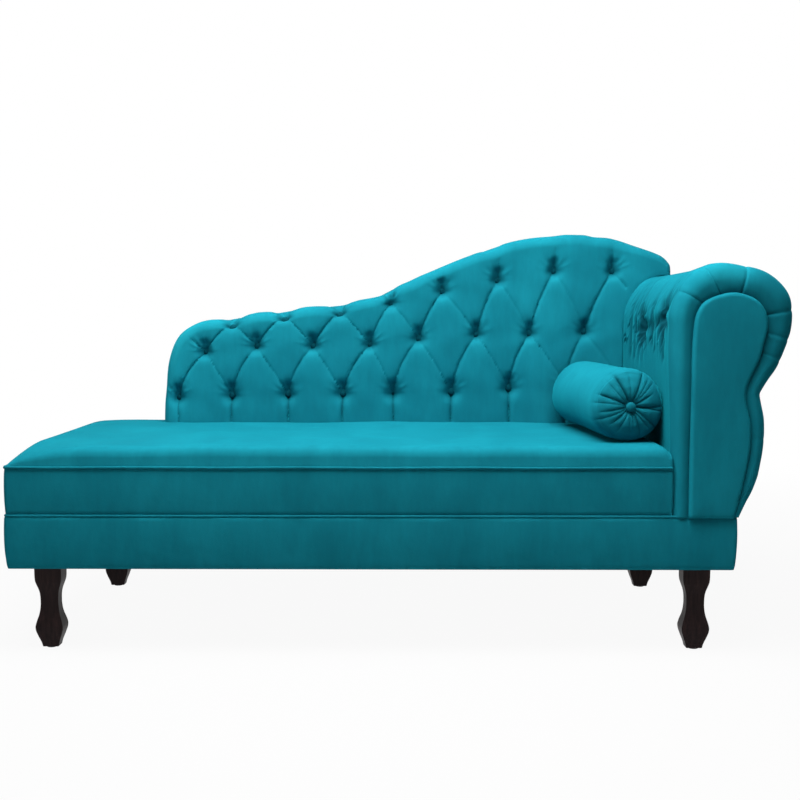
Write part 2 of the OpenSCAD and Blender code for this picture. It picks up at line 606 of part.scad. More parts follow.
module back_foam() color(foam_tint) difference() {
    sheet_solid(
        concat(skin_front(skin_in), skin_edge(skin_in, edge_mid_y), skin_edge(skin_in, wrap_y)),
        concat(panel_front(foam_face), panel_edge(mix(foam_face, wrap_y, edge_share)),
            panel_edge(wrap_y)), pad_quads);
    for (p = buttons) along_y(p, pit_y - pleat_depth, back_t, foam_hole_r);
}

// The panel, a crest rail behind its top edge, and three posts lapped and bolted to the rear rail.
panel_rim = [for (b = [0:edge_count - 1])
    panel_face_point(edge_col(b), edge_row(b)) - clear * outward(b)];
panel_outline = concat(panel_rim,
    [for (k = [len(shoulder_is) - 1:-1:0]) arc_point(k) - [k == 3 ? clear : 0, 0]],
    [[seat_right - clear, roll_z], [seat_right - clear, pad_z0]]);
module back_panel() color(ply) board_xz(panel_y, panel_t) difference() {
    polygon(panel_outline);
    for (p = buttons) translate(p) circle(2 * twine_r);
}
post_y = panel_y + panel_t;
washer_t = 1.5;
washer_r = 6;
post_back = y_back - seam_in;
crest_rail_h = 40;
crest_rim = [for (c = [1:n_cols - 2]) panel_face_point(c, row_crest) - [0, clear]];
module back_crest_rail() color(pine) board_xz(post_y, post_back - post_y)
    difference() {
        polygon(concat(crest_rim, [for (k = [len(crest_rim) - 1:-1:0]) crest_rim[k] - [0, crest_rail_h]]));
        for (p = buttons) translate(p) circle(washer_r + clear);
    }
post_tuck = 80;
left_post_in = 16;
middle_post_share = 0.4575;
post_gap = 1.2;
post_xs = [back_x + left_post_in, back_x + back_l * middle_post_share, seat_right - clear - post_w];
left_post_share = 0.24;
post_tops = [seat_z + back_h * left_post_share,
    for (k = [1, 2]) min([for (s = [0:0.25:1]) crest(post_xs[k] + s * post_w)])
        - crest_in - crest_rail_h - post_gap];
bolt_z_shares = [0.3, 0.75];
back_bolt_r = 4;
back_bolt_head_r = 9;
back_bolt_head_h = 4;
back_bolt_zs = [for (s = bolt_z_shares) rail_top - post_tuck * s];
module back_bolt_bores(r) for (x = post_xs, z = back_bolt_zs)
    along_y([x + post_w / 2, z], post_y - over, frame_y1 - post_y + 2 * over, r);
module back_post(k) color(pine) difference() {
    union() {
        block([post_xs[k], post_y, rail_top - post_tuck],
            [post_xs[k] + post_w, frame_y1 - rail_t, post_tops[k]]);
        block([post_xs[k], post_y, rail_top], [post_xs[k] + post_w, post_back, post_tops[k]]);
    }
    back_bolt_bores(back_bolt_r);
    for (p = buttons) along_y(p, post_y - over, washer_t + 2 * over, washer_r + clear);
}
module back_post_left() back_post(0);
module back_post_middle() back_post(1);
module back_post_right() back_post(2);
module back_bolts() color(steel) for (x = post_xs, z = back_bolt_zs) {
    along_y([x + post_w / 2, z], post_y, frame_y1 - post_y, back_bolt_r);
    along_y([x + post_w / 2, z], post_y - back_bolt_head_h, back_bolt_head_h, back_bolt_head_r);
}
// Covered buttons: a domed face, with the twine's eye at the back.
button_dome = 5;
button_t = 3;
corner_slope_share = 1.7;
button_seat = button_r * tuft_depth / tuft_run * corner_slope_share + clear;
module dome_button(r, t, dome) rotate_extrude() polygon(concat([[0, 0], [r, 0]],
    [for (a = [0:15:75]) [r * cos(a), t + dome * sin(a)]], [[0, t + dome]]));
module facing_front(p, y) translate([p[0], y, p[1]]) rotate([90, 0, 0]) children();
module tuft_buttons() color(velvet) for (p = buttons)
    facing_front(p, pit_y - button_seat) dome_button(button_r, button_t, button_dome);
module button_twine() color(twine_tint) for (p = buttons)
    along_y(p, pit_y - button_seat, post_y + washer_t + clear - pit_y + button_seat, twine_r);
module twine_washers() color(steel) for (p = buttons) difference() {
    along_y(p, post_y, washer_t, washer_r);
    along_y(p, post_y - over, washer_t + 2 * over, twine_r);
}
back_outline = concat([for (b = [0:edge_count - 1])
    pad_point(edge_col(b), edge_row(b)) - clear * outward(b)],
    [for (k = [len(shoulder_is) - 1:-1:0]) arc_point(k) - [k == 3 ? clear : 0, 0]],
    [[seat_right - clear, roll_z], [seat_right - clear, box_z0], [back_x + clear, box_z0]]);
module back_outer_cover() color(velvet_dark) board_xz(y_back - cloth_t, cloth_t)
    polygon([for (p = back_outline) if (p[1] >= box_z0) p]);

// Arm: its outline runs from the foot of the inner face up, round the roll and down the outside.
// Below the roll, places are shares of the height from the seam to the roll's centre, and of the
// distance from the roll's centre out to its right.
inner_shares = [0, 0.12, 0.3, 0.5, 0.72, 0.88];
arc_step = 15;
arc_end = -15;
outer_z_shares = [0.863, 0.773, 0.70, 0.65, 0.629, 0.60, 0.563, 0.494, 0.414, 0.338, 0.262, 0.19,
    0.118, 0.057, 0];
outer_x_shares = [0.895, 0.77, 0.60, 0.50, 0.46, 0.48, 0.508, 0.56, 0.573, 0.556, 0.516, 0.468,
    0.395, 0.298, 0.194];
foot_z = box_z0;
function drop_z(s) = mix(foot_z, roll_z, s);
arm_line = concat(
    [for (s = inner_shares) [arm_in, drop_z(s)]],
    [for (a = [180:-arc_step:arc_end]) [roll_x + roll_r * cos(a), roll_z + roll_r * sin(a)]],
    [for (k = [0:len(outer_z_shares) - 1]) [roll_x + roll_r * outer_x_shares[k],
        drop_z(outer_z_shares[k])]]);
n_arm = len(arm_line);
n_inner = len(inner_shares);
arc_count = (180 - arc_end) / arc_step + 1;
// Inward direction at each place of the outline.
function unit(v) = v / sqrt(sum2(v));
function inward(i) = i == 0 ? [1, 0] : i == n_arm - 1 ? [-1, 0]
    : let(d = unit(unit(arm_line[i + 1] - arm_line[i]) + unit(arm_line[i] - arm_line[i - 1])))
        [d[1], -d[0]];
function inset_line(d) = [for (i = [0:n_arm - 1]) arm_line[i] + d * inward(i)];
// Width of the padded band round the facing board, widest over the roll.
band_side = 38;
band_top = 68;
band_roll_end = 54;
band_neck = 35;
band_low = 31.5;
band_foot = 16;
band_table = [[0, band_side], [n_inner, band_side], [n_inner + 6, band_top],
    [n_inner + arc_count - 1, band_roll_end], [n_inner + arc_count + 4, band_neck],
    [n_arm - 4, band_low], [n_arm - 1, band_foot]];
// The band's places between the facing board's edge and the outline, with pleats over the roll.
band_shares = [1.2, 0.62, 0.22, 0];
band_drop_shares = [0, 0.5, 1, 1];
band_tuck = 6;
band_turn = 26;
band_ys = [y_front + band_tuck, y_front, y_front + band_tuck, y_front + band_turn];
side_shares = [0.2, 0.6];
side_ys = concat([for (s = side_shares) mix(y_front, back_y, s)], [wrap_y]);
pleat_proud = 4;
pull_in = 5;
function on_roll(i) = i >= n_inner && i < n_inner + arc_count;
function pleated(i, k) = on_roll(i) && i % 2 == 0 && k > 0 && k < 3 ? pleat_proud : 0;
function pulled(i, k) = (k == 4 && i == n_inner) || (k == 5 && i == n_inner - 1) ? pull_in : 0;
function arm_skin(drop) = concat(
    [for (k = [0:3], i = [0:n_arm - 1])
        let(w = table_at(band_table, i) * band_shares[k] + drop * band_drop_shares[k],
            p = arm_line[i] + (w + pleated(i, k) / 2) * inward(i))
        [p[0], band_ys[k] + drop + pleated(i, k), p[1]]],
    [for (k = [0:2], i = [0:n_arm - 1])
        let(p = arm_line[i] + (drop + pulled(i, k + 4)) * inward(i)) [p[0], side_ys[k], p[1]]]);
arm_quads = [for (k = [0:5], i = [0:n_arm - 2])
    let(a = k * n_arm + i) [a, a + 1, a + n_arm + 1, a + n_arm]];
module arm_cover() color(velvet) sheet_solid(arm_skin(0), arm_skin(cloth_t), arm_quads);

// Foam over the arm's frame: a padded strip that follows the outline.
foam_in = cloth_t + pull_in + clear;
frame_in = arm_pad;
foam_y0 = y_front + band_turn + clear;
module arm_ring(outer_d, inner_d) polygon(concat(inset_line(outer_d),
    [for (i = [n_arm - 1:-1:0]) inset_line(inner_d)[i]]));
module arm_foam() color(foam_tint) board_xz(foam_y0, wrap_y - foam_y0) arm_ring(foam_in, frame_in);
// The two keyhole boards, three rails between them, and the card that shapes roll and inner face.
card_t = 3;
board_in = frame_in + card_t + clear;
module keyhole() polygon(concat(inset_line(board_in), [[x_right - board_in, rail_top],
    [arm_in + board_in, rail_top]]));
front_board_y = y_front + band_tuck + pleat_proud + cloth_t + clear;
rear_board_y = y_back - seam_in - arm_board_t;
module arm_front_board() color(ply) board_xz(front_board_y, arm_board_t) keyhole();
module arm_rear_board() color(ply) board_xz(rear_board_y, arm_board_t) keyhole();
arm_rail_y0 = front_board_y + arm_board_t;
arm_rail_w = 40;
arm_rail_h = 25;
arm_rail_lift = 8;
module arm_rail(x, z, w, h) color(pine)
    block([x, arm_rail_y0, z], [x + w, rear_board_y, z + h]);
arm_rail_places = [[arm_in + board_in, foot_z + arm_rail_lift],
    [arm_in + board_in, roll_z - arm_rail_w], [roll_x, roll_z - roll_r + 2 * arm_pad]];
module arm_bottom_rail() arm_rail(arm_rail_places[0][0], arm_rail_places[0][1], arm_rail_w, arm_rail_h);
module arm_inner_rail() arm_rail(arm_rail_places[1][0], arm_rail_places[1][1], arm_rail_h, arm_rail_w);
module arm_outer_rail() arm_rail(arm_rail_places[2][0], arm_rail_places[2][1], arm_rail_h, arm_rail_h);
module card(i0, i1) polygon(concat([for (i = [i0:i1]) inset_line(frame_in + clear)[i]],
    [for (i = [i1:-1:i0]) inset_line(frame_in + card_t)[i]]));
module arm_inner_panel() color(ply) board_xz(front_board_y, wrap_y - front_board_y)
    card(0, n_inner);
module arm_roll_board() color(ply) board_xz(front_board_y, wrap_y - front_board_y)
    card(n_inner, n_arm - 1);
module arm_screws() color(steel) for (k = [0:2], side = [0, 1]) {
    w = k == 0 ? arm_rail_w : arm_rail_h;
    h = k == 1 ? arm_rail_w : arm_rail_h;
    translate([arm_rail_places[k][0] + w / 2, side == 0 ? front_board_y : rear_board_y + arm_board_t,
        arm_rail_places[k][1] + h / 2]) rotate([side == 0 ? -90 : 90, 0, 0]) {
            cylinder(r1 = screw_head_r, r2 = screw_r, h = screw_head_h);
            cylinder(r = screw_r, h = screw_l);
        }
}
module arm_rear_cover() color(velvet_dark) board_xz(y_back - cloth_t, cloth_t) polygon(arm_line);
// The facing: a keyhole board in a padded cover, standing proud of the band.
facing_y0 = y_front - facing_proud;
facing_meet_share = 0.65;
facing_y1 = y_front + band_tuck * facing_meet_share;
facing_face_t = 3;
facing_board_t = facing_y1 - facing_y0 - facing_face_t;
function facing_in(d) = [for (i = [0:n_arm - 1])
    arm_line[i] + (table_at(band_table, i) + d) * inward(i)];
module arm_facing_board() color(ply)
    board_xz(facing_y1 - facing_board_t, facing_board_t) polygon(facing_in(cloth_t + clear));
module arm_facing_cover() color(velvet_dark) difference() {
    union() {
        board_xz(facing_y0 + cloth_t, facing_y1 - facing_y0 - cloth_t) polygon(facing_in(0));
        board_xz(facing_y0, cloth_t) polygon(facing_in(facing_face_t));
    }
    board_xz(facing_y1 - facing_board_t - clear, facing_board_t + clear + over)
        polygon(facing_in(cloth_t));
}

// Bolster: it lies loose on the seat, against the arm and nearly up to the back.
bolster_x = arm_in - clear - bolster_r / cos(bolster_turn) - bolster_l / 2 * sin(bolster_turn);
bolster_back_gap = 22;
bolster_y = pillow_y - bolster_back_gap - bolster_l / 2;
seat_gap = 0.5;
bolster_z = welt_z + seat_height(bolster_x - bolster_r / 2, bolster_y, 0) + bolster_r + seat_gap;
module bolster_place() translate([bolster_x, bolster_y, bolster_z]) rotate([90, 0, bolster_turn])
    children();
side_count = 2 * gathers;
ring_r_shares = [0.11, 0.4, 0.78, 0.955, 1];
ring_s_shares = [0.10, 0.05, 0.02, 0.08, 0.24];
gather_shares = [0, 0.04, 0.05, 0.025, 0];
full_turn = 360;
n_ring = len(ring_r_shares);
function ring_point(k, a, drop) = let(e = k < n_ring ? k : 2 * n_ring - 1 - k,
        dip = (a % 2) * gather_shares[e] * bolster_r,
        r = ring_r_shares[e] * bolster_r - (e > 1 ? drop : 0) - (e > 2 ? dip / 2 : 0),
        s = ring_s_shares[e] * bolster_r + (e < 4 ? drop : 0) + (e < 3 ? dip : dip / 2),
        t = full_turn * a / side_count, z = k < n_ring ? bolster_l / 2 - s : s - bolster_l / 2)
    [r * cos(t), r * sin(t), z];
function bolster_skin(drop) =
    [for (k = [0:2 * n_ring - 1], a = [0:side_count - 1]) ring_point(k, a, drop)];
bolster_quads = [for (k = [0:2 * n_ring - 2], a = [0:side_count - 1])
    let(b = (a + 1) % side_count, m = k * side_count)
    [m + a, m + b, m + side_count + b, m + side_count + a]];
module bolster_cover() color(velvet) bolster_place()
    sheet_solid(bolster_skin(0), bolster_skin(cloth_t), bolster_quads);
core_gap = 0.9;
core_end_share = 0.26;
core_h = bolster_l - 2 * (core_end_share * bolster_r + cloth_t);
module bolster_core() color(foam_tint) bolster_place()
    cylinder(r = bolster_r - cloth_t - core_gap, h = core_h, center = true);
bolster_button_seat = bolster_r * lookup(bolster_button_r / bolster_r,
    [for (k = [0, 1]) [ring_r_shares[k], ring_s_shares[k]]]) - clear;
module bolster_button() translate([0, 0, bolster_l / 2 - bolster_button_seat])
    dome_button(bolster_button_r, button_t, button_dome);
module bolster_button_front() color(velvet) bolster_place() bolster_button();
module bolster_button_rear() color(velvet) bolster_place() rotate([180, 0, 0]) bolster_button();

leg_front_left();
leg_front_right();
leg_rear_left();
leg_rear_right();
foot_glides();
hanger_bolts();
tee_nuts();
front_rail();
rear_rail();
left_end_rail();
right_end_rail();
cross_bearer_left();
cross_bearer_middle();
cross_bearer_right();
corner_blocks();
frame_screws();
seat_webbing_lengthwise();
seat_webbing_crosswise();
webbing_staples();
seat_insulator();
seat_foam();
seat_top_cover();
seat_boxing();
upper_piping();
lower_piping();
rail_cover();
dust_cover();
back_panel();
back_crest_rail();
back_post_left();
back_post_middle();
back_post_right();
back_bolts();
back_foam();
back_tufted_cover();
tuft_buttons();
button_twine();
twine_washers();
back_outer_cover();
arm_front_board();
arm_rear_board();
arm_bottom_rail();
arm_inner_rail();
arm_outer_rail();
arm_inner_panel();
arm_roll_board();
arm_foam();
arm_cover();
arm_rear_cover();
arm_facing_board();
arm_facing_cover();
arm_screws();
bolster_core();
bolster_cover();
bolster_button_front();
bolster_button_rear();
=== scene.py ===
import json
import math

import bmesh
import bpy
import numpy as np
from mathutils import Matrix, Vector
from mathutils.bvhtree import BVHTree
from mathutils.geometry import delaunay_2d_cdt

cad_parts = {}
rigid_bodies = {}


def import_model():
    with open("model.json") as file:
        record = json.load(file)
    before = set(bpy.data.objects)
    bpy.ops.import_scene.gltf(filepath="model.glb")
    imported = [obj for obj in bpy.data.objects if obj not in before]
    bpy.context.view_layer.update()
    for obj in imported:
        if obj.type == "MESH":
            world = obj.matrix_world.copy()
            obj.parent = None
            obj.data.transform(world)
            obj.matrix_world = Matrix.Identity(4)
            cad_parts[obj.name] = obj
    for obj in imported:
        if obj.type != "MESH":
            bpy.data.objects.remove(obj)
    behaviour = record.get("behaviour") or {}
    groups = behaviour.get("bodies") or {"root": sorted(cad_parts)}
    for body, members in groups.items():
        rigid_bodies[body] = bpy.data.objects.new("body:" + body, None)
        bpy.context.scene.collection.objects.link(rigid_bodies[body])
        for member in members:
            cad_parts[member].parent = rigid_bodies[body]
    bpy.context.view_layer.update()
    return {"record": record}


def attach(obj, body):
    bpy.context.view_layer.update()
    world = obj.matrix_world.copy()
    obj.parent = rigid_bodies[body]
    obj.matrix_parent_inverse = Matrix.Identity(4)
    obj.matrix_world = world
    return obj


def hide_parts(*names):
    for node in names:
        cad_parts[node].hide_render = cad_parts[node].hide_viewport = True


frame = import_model()

# The studio: a camera low in front of the couch, a broad soft lamp overhead, two weaker ones at the
# sides, and a pale floor that runs out into a white surround. Only rays from the camera and from
# gloss see the white; the cloth is lit by the lamps and a dimmer surround.
EYE = (0.030, -2.495, 0.745)
LOOK_DOWN, LOOK_LEFT = 4.65, 0.457
camera = bpy.data.objects.new("camera", bpy.data.cameras.new("camera"))
camera.data.lens, camera.data.sensor_width = 45.18, 36
camera.location = EYE
camera.rotation_euler = [math.radians(a) for a in (90 - LOOK_DOWN, 0, LOOK_LEFT)]
bpy.context.collection.objects.link(camera)
bpy.context.scene.camera = camera
bpy.context.scene.view_settings.view_transform = "Standard"

for name, place, aim, size, power in (
        ("lamp_over", (-0.15, -0.60, 2.25), (0.05, -0.10, 0.45), (1.9, 1.0), 104),
        ("lamp_left", (-2.7, -1.6, 1.8), (-0.3, 0.0, 0.6), (1.4, 1.4), 8),
        ("lamp_right", (2.9, -1.0, 1.7), (0.4, 0.0, 0.6), (1.2, 1.4), 1.5)):
    lamp = bpy.data.objects.new(name, bpy.data.lights.new(name, "AREA"))
    lamp.data.shape, lamp.data.size, lamp.data.size_y = "RECTANGLE", *size
    lamp.data.energy = power
    lamp.location = place
    way = np.array(aim) - np.array(place)
    lamp.rotation_euler = (math.acos(-way[2] / np.linalg.norm(way)), 0,
                           math.atan2(way[1], way[0]) - math.pi / 2)
    bpy.context.collection.objects.link(lamp)


class Wire:
    """A socket that takes part in sums, so that shader maths reads as it would on paper."""

    def __init__(self, tree, socket):
        self.tree, self.socket = tree, socket

    def node(self, kind, settings=None, out=0, **inputs):
        """Any other node: its settings first, then values or links of its named inputs."""
        made = self.tree.nodes.new(kind)
        for key, value in (settings or {}).items():
            if key == "stops":
                while len(made.color_ramp.elements) < len(value):
                    made.color_ramp.elements.new(0.5)
                for stop, (at, tint) in zip(made.color_ramp.elements, value):
                    stop.position, stop.color = at, (*tint, 1)
            else:
                setattr(made, key, value)
        for key, value in inputs.items():
            spot = int(key[1:]) if key[0] == "_" else key.replace("_", " ")
            if isinstance(value, Wire):
                self.tree.links.new(value.socket, made.inputs[spot])
            else:
                made.inputs[spot].default_value = value
        return Wire(self.tree, made.outputs[out])

    def noise(self, scale, stretch=(1.0, 1.0, 1.0), **more):
        """Noise over these places, drawn out along an axis whose stretch is small."""
        spot = self.node("ShaderNodeMapping", Vector=self, Scale=stretch) if stretch != (1.0, 1.0, 1.0) else self
        return self.node("ShaderNodeTexNoise", Vector=spot, Scale=scale, **more)

    def maths(self, operation, a, b=0.0):
        return self.node("ShaderNodeMath", {"operation": operation}, _0=a, _1=b)

    def __add__(self, other): return self.maths("ADD", self, other)
    def __radd__(self, other): return self.maths("ADD", other, self)
    def __sub__(self, other): return self.maths("SUBTRACT", self, other)
    def __rsub__(self, other): return self.maths("SUBTRACT", other, self)
    def __mul__(self, other): return self.maths("MULTIPLY", self, other)
    def __rmul__(self, other): return self.maths("MULTIPLY", other, self)

    def between(self, low, high):
        """The colour that lies this far from low to high."""
        return self.node("ShaderNodeMix", {"data_type": "RGBA"}, 2, _0=self,
                         _6=low if isinstance(low, Wire) else (*low, 1),
                         _7=high if isinstance(high, Wire) else (*high, 1))


def fresh(material):
    """An empty node tree, as a Wire to build from, and its output node."""
    material.use_nodes = True
    tree = material.node_tree
    tree.nodes.clear()
    kind = "ShaderNodeOutputWorld" if isinstance(material, bpy.types.World) else "ShaderNodeOutputMaterial"
    return Wire(tree, None), tree.nodes.new(kind)


def plain_mesh(name, points, faces):
    """A smooth shaded mesh object at the origin, from its points in metres."""
    mesh = bpy.data.meshes.new(name)
    mesh.from_pydata([tuple(map(float, p)) for p in points], [], [tuple(map(int, f)) for f in faces])
    mesh.shade_smooth()
    made = bpy.data.objects.new(name, mesh)
    bpy.context.collection.objects.link(made)
    return made


def mark_painted_shade_and_light(made, depth):
    """Keeps, for the velvet, painted shade at each point, up to 1, most where it lies deep in a fold or a
    pit. Below 0, down to -1, it keeps painted light instead. One number stands for every point."""
    values = np.full(len(made.data.vertices), 0.0) + np.clip(depth, -1, 1)
    made.data.attributes.new("hollow", "FLOAT", "POINT").data.foreach_set("value", values.astype(np.float32))
    return made


def eye_rays(w):
    """1 for rays that end in the picture, straight, off gloss or through glass. 0 for those that light."""
    paths = w.tree.nodes.new("ShaderNodeLightPath").outputs
    straight, gloss, glass = (Wire(w.tree, paths[kind])
                              for kind in ("Is Camera Ray", "Is Glossy Ray", "Is Transmission Ray"))
    return w.maths("MINIMUM", straight + gloss + glass, 1.0)


FLOOR_TINT, FLOOR_WHITE = (0.42, 0.42, 0.42), 0.94
floor_finish = bpy.data.materials.new("studio_floor")
w, end = fresh(floor_finish)
matt = w.node("ShaderNodeBsdfDiffuse", Color=(*FLOOR_TINT, 1))
white = w.node("ShaderNodeEmission", Color=(1, 1, 1, 1), Strength=1.0)
from_middle = w.node("ShaderNodeVectorMath", {"operation": "LENGTH"}, 1, _0=w.node("ShaderNodeTexCoord", out=3))
far = w.node("ShaderNodeMapRange", {"interpolation_type": "SMOOTHSTEP"}, Value=from_middle,
             From_Min=1.1, From_Max=3.4, To_Min=FLOOR_WHITE, To_Max=1.0)
w.tree.links.new(w.node("ShaderNodeMixShader", _0=eye_rays(w) * far, _1=matt, _2=white).socket, end.inputs[0])
floor = plain_mesh("floor", [(-30, -30, 0), (30, -30, 0), (30, 30, 0), (-30, 30, 0)], [(0, 1, 2, 3)])
floor.data.materials.append(floor_finish)

SURROUND = 0.10
world = bpy.data.worlds.new("studio")
bpy.context.scene.world = world
w, end = fresh(world)
light = w.node("ShaderNodeBackground", Color=(1, 1, 1, 1), Strength=SURROUND)
white = w.node("ShaderNodeBackground", Color=(1, 1, 1, 1), Strength=1.0)
w.tree.links.new(w.node("ShaderNodeMixShader", _0=eye_rays(w), _1=light, _2=white).socket, end.inputs[0])

# Legs: four solid hardwood legs, band-sawn to one outline on all four sides and lightly chamfered at
# the corners, stained near black-brown and finished in satin lacquer. Each is screwed on by a bolt.
LEG_SOLE, LEG_CHAMFER, LEG_DEPTH = 0.002, 0.11, 0.72
LEG_PLACES = {"leg_front_left": (-0.781, -0.2615), "leg_front_right": (0.677, -0.2615),
              "leg_rear_left": (-0.781, 0.2665), "leg_rear_right": (0.677, 0.2665)}
# Height above the sole against half width, in millimetres, from the sole up.
LEG_OUTLINE = [(0, 18), (9, 20), (27, 26.5), (41, 30.5), (47, 31), (54, 29.8), (64, 27), (73, 24), (82, 22),
               (92, 20.7), (101, 20.2), (112, 20.3), (122, 21.0), (132, 23.0), (143, 26.6), (153, 29.4), (162, 30.2),
               (194, 30.5)]


def smooth_between(rows, at):
    """Values of a table at places between its rows, along a curve with no overshoot."""
    xs, ys = np.array(rows, float).T
    step, rise = np.diff(xs), np.diff(ys)
    slope = rise / step
    tangent = np.zeros(len(xs))
    same = slope[1:] * slope[:-1] > 0
    a, b = 2 * step[1:] + step[:-1], step[1:] + 2 * step[:-1]
    tangent[1:-1][same] = ((a + b)[same] / (a[same] / slope[:-1][same] + b[same] / slope[1:][same]))
    tangent[0], tangent[-1] = slope[0], slope[-1]
    at = np.clip(at, xs[0], xs[-1])
    k = np.clip(np.searchsorted(xs, at, side="right") - 1, 0, len(step) - 1)
    t = (at - xs[k]) / step[k]
    return ((2 * t**3 - 3 * t**2 + 1) * ys[k] + (t**3 - 2 * t**2 + t) * step[k] * tangent[k]
            + (3 * t**2 - 2 * t**3) * ys[k + 1] + (t**3 - t**2) * step[k] * tangent[k + 1])


def tube_faces(rows, around):
    """Faces of a tube of closed rings of points, with one face over each end."""
    quads = [(r * around + a, r * around + (a + 1) % around,
              (r + 1) * around + (a + 1) % around, (r + 1) * around + a)
             for r in range(rows - 1) for a in range(around)]
    return quads + [tuple(range(around))[::-1], tuple((rows - 1) * around + a for a in range(around))]


def principled(w, end, fixed, wires):
    """A Principled shader with some inputs fixed and others led over the surface by wires."""
    shader = w.tree.nodes.new("ShaderNodeBsdfPrincipled")
    for spot, value in fixed.items():
        shader.inputs[spot].default_value = value
    for spot, wire in wires.items():
        w.tree.links.new(wire.socket, shader.inputs[spot])
    w.tree.links.new(shader.outputs[0], end.inputs[0])


leg_finish = bpy.data.materials.new("leg_lacquer")
w, end = fresh(leg_finish)
place = w.node("ShaderNodeTexCoord", out=3)
figure = place.noise(3.0, (55, 55, 3.0), Detail=6.0, Roughness=0.62)
pores = place.noise(2.0, (420, 420, 16), Detail=3.0)
patches = place.noise(14.0, Detail=2.0)
stain = figure.node("ShaderNodeValToRGB", {"stops": [(0.30, (0.0080, 0.0042, 0.0044)), (0.52, (0.0165, 0.0088, 0.0090)),
                                                     (0.74, (0.0280, 0.0145, 0.0135))]}, Fac=figure)
principled(w, end, {"Coat Weight": 0.02, "Coat Roughness": 0.22, "Specular IOR Level": 0.08},
           {"Base Color": stain, "Roughness": 0.30 + 0.14 * pores + 0.10 * patches,
            "Normal": w.node("ShaderNodeBump", Strength=0.10, Distance=0.0006, Height=pores + 0.6 * figure)})

heights = np.unique(np.concatenate([np.linspace(0, 194, 64), [r[0] for r in LEG_OUTLINE]]))
halves = smooth_between(LEG_OUTLINE, heights) / 1000
flank = 1 - LEG_CHAMFER
corners = [(1, -flank), (1, flank), (flank, 1), (-flank, 1), (-1, flank), (-1, -flank), (-flank, -1), (flank, -1)]
for name, (x, y) in LEG_PLACES.items():
    rings = [(x + h * cx, y + LEG_DEPTH * h * cy, LEG_SOLE + z / 1000)
             for z, h in zip(heights, halves) for cx, cy in corners]
    leg = plain_mesh(name + "_turned", rings, tube_faces(len(heights), 8))
    soft_edge = leg.modifiers.new("edge", "BEVEL")
    soft_edge.width, soft_edge.segments, soft_edge.limit_method = 0.0012, 2, "ANGLE"
    soft_edge.angle_limit = math.radians(28)
    soft_edge.harden_normals = True
    leg.data.materials.append(leg_finish)
    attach(leg, "couch")
    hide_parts(name)

# The base: pine rails padded with thin card and wadding, covered in one band of velvet that is pulled
# down and stapled underneath, so it swells a little at mid height and draws in at its lower edge.
BASE_LEFT, BASE_RIGHT, BASE_FRONT, BASE_REAR = -0.8600, 0.7520, -0.3255, 0.3295
BASE_LOW, SEAM_Z, WELT_Z, CORNER_R = 0.196, 0.312, 0.419, 0.011

# Velvet: a dense cut pile. Base colour wanders where the nap has been brushed one way or the other,
# gets painted shade deep in folds and pits and painted light in some places, both from a point attribute,
# and the sheen of the fibre tips lightens it where it turns away from the eye.
VELVET_DEEP, VELVET_MID = (0.0034, 0.117, 0.157), (0.0049, 0.163, 0.214)
VELVET_LIGHT, VELVET_PAINTED_SHADE = (0.0082, 0.224, 0.283), (0.0008, 0.026, 0.038)
velvet = bpy.data.materials.new("velvet_main")
w, end = fresh(velvet)
place = w.node("ShaderNodeTexCoord", out=3)
brushed = place.noise(9.0, (1.0, 1.0, 0.45), Detail=3.0, Roughness=0.55, Distortion=0.6)
streaks = place.noise(70.0, (1.0, 1.0, 0.25), Detail=4.0, Roughness=0.6)
pile = place.noise(1500.0, Detail=2.0)
crush = place.noise(38.0, Detail=3.0, Roughness=0.5)
hollow = w.node("ShaderNodeAttribute", {"attribute_name": "hollow"}, 2)
# Below 0 the attribute is painted light: it moves the colour towards the ramp's light end.
painted_light = hollow.maths("MINIMUM", hollow, 0.0)
shade = 0.5 + 0.50 * (brushed - 0.5) + 0.22 * (streaks - 0.5) + 0.15 * (pile - 0.5) - painted_light
tint = w.node("ShaderNodeValToRGB", {"stops": [(0.22, VELVET_DEEP), (0.50, VELVET_MID), (0.80, VELVET_LIGHT)]},
              Fac=shade)
fuzz = w.node("ShaderNodeBump", Strength=0.35, Distance=0.0004, Height=pile)
# Above 0 the attribute mixes in the painted shade colour.
principled(w, end, {"Sheen Weight": 0.32, "Sheen Roughness": 0.30, "Sheen Tint": (0.012, 0.66, 0.78, 1),
                    "Specular IOR Level": 0.03, "IOR": 1.4},
           {"Base Color": hollow.between(tint, VELVET_PAINTED_SHADE), "Roughness": 0.78 + 0.14 * brushed,
            "Normal": w.node("ShaderNodeBump", Strength=0.35, Distance=0.0016, Height=crush, Normal=fuzz)})


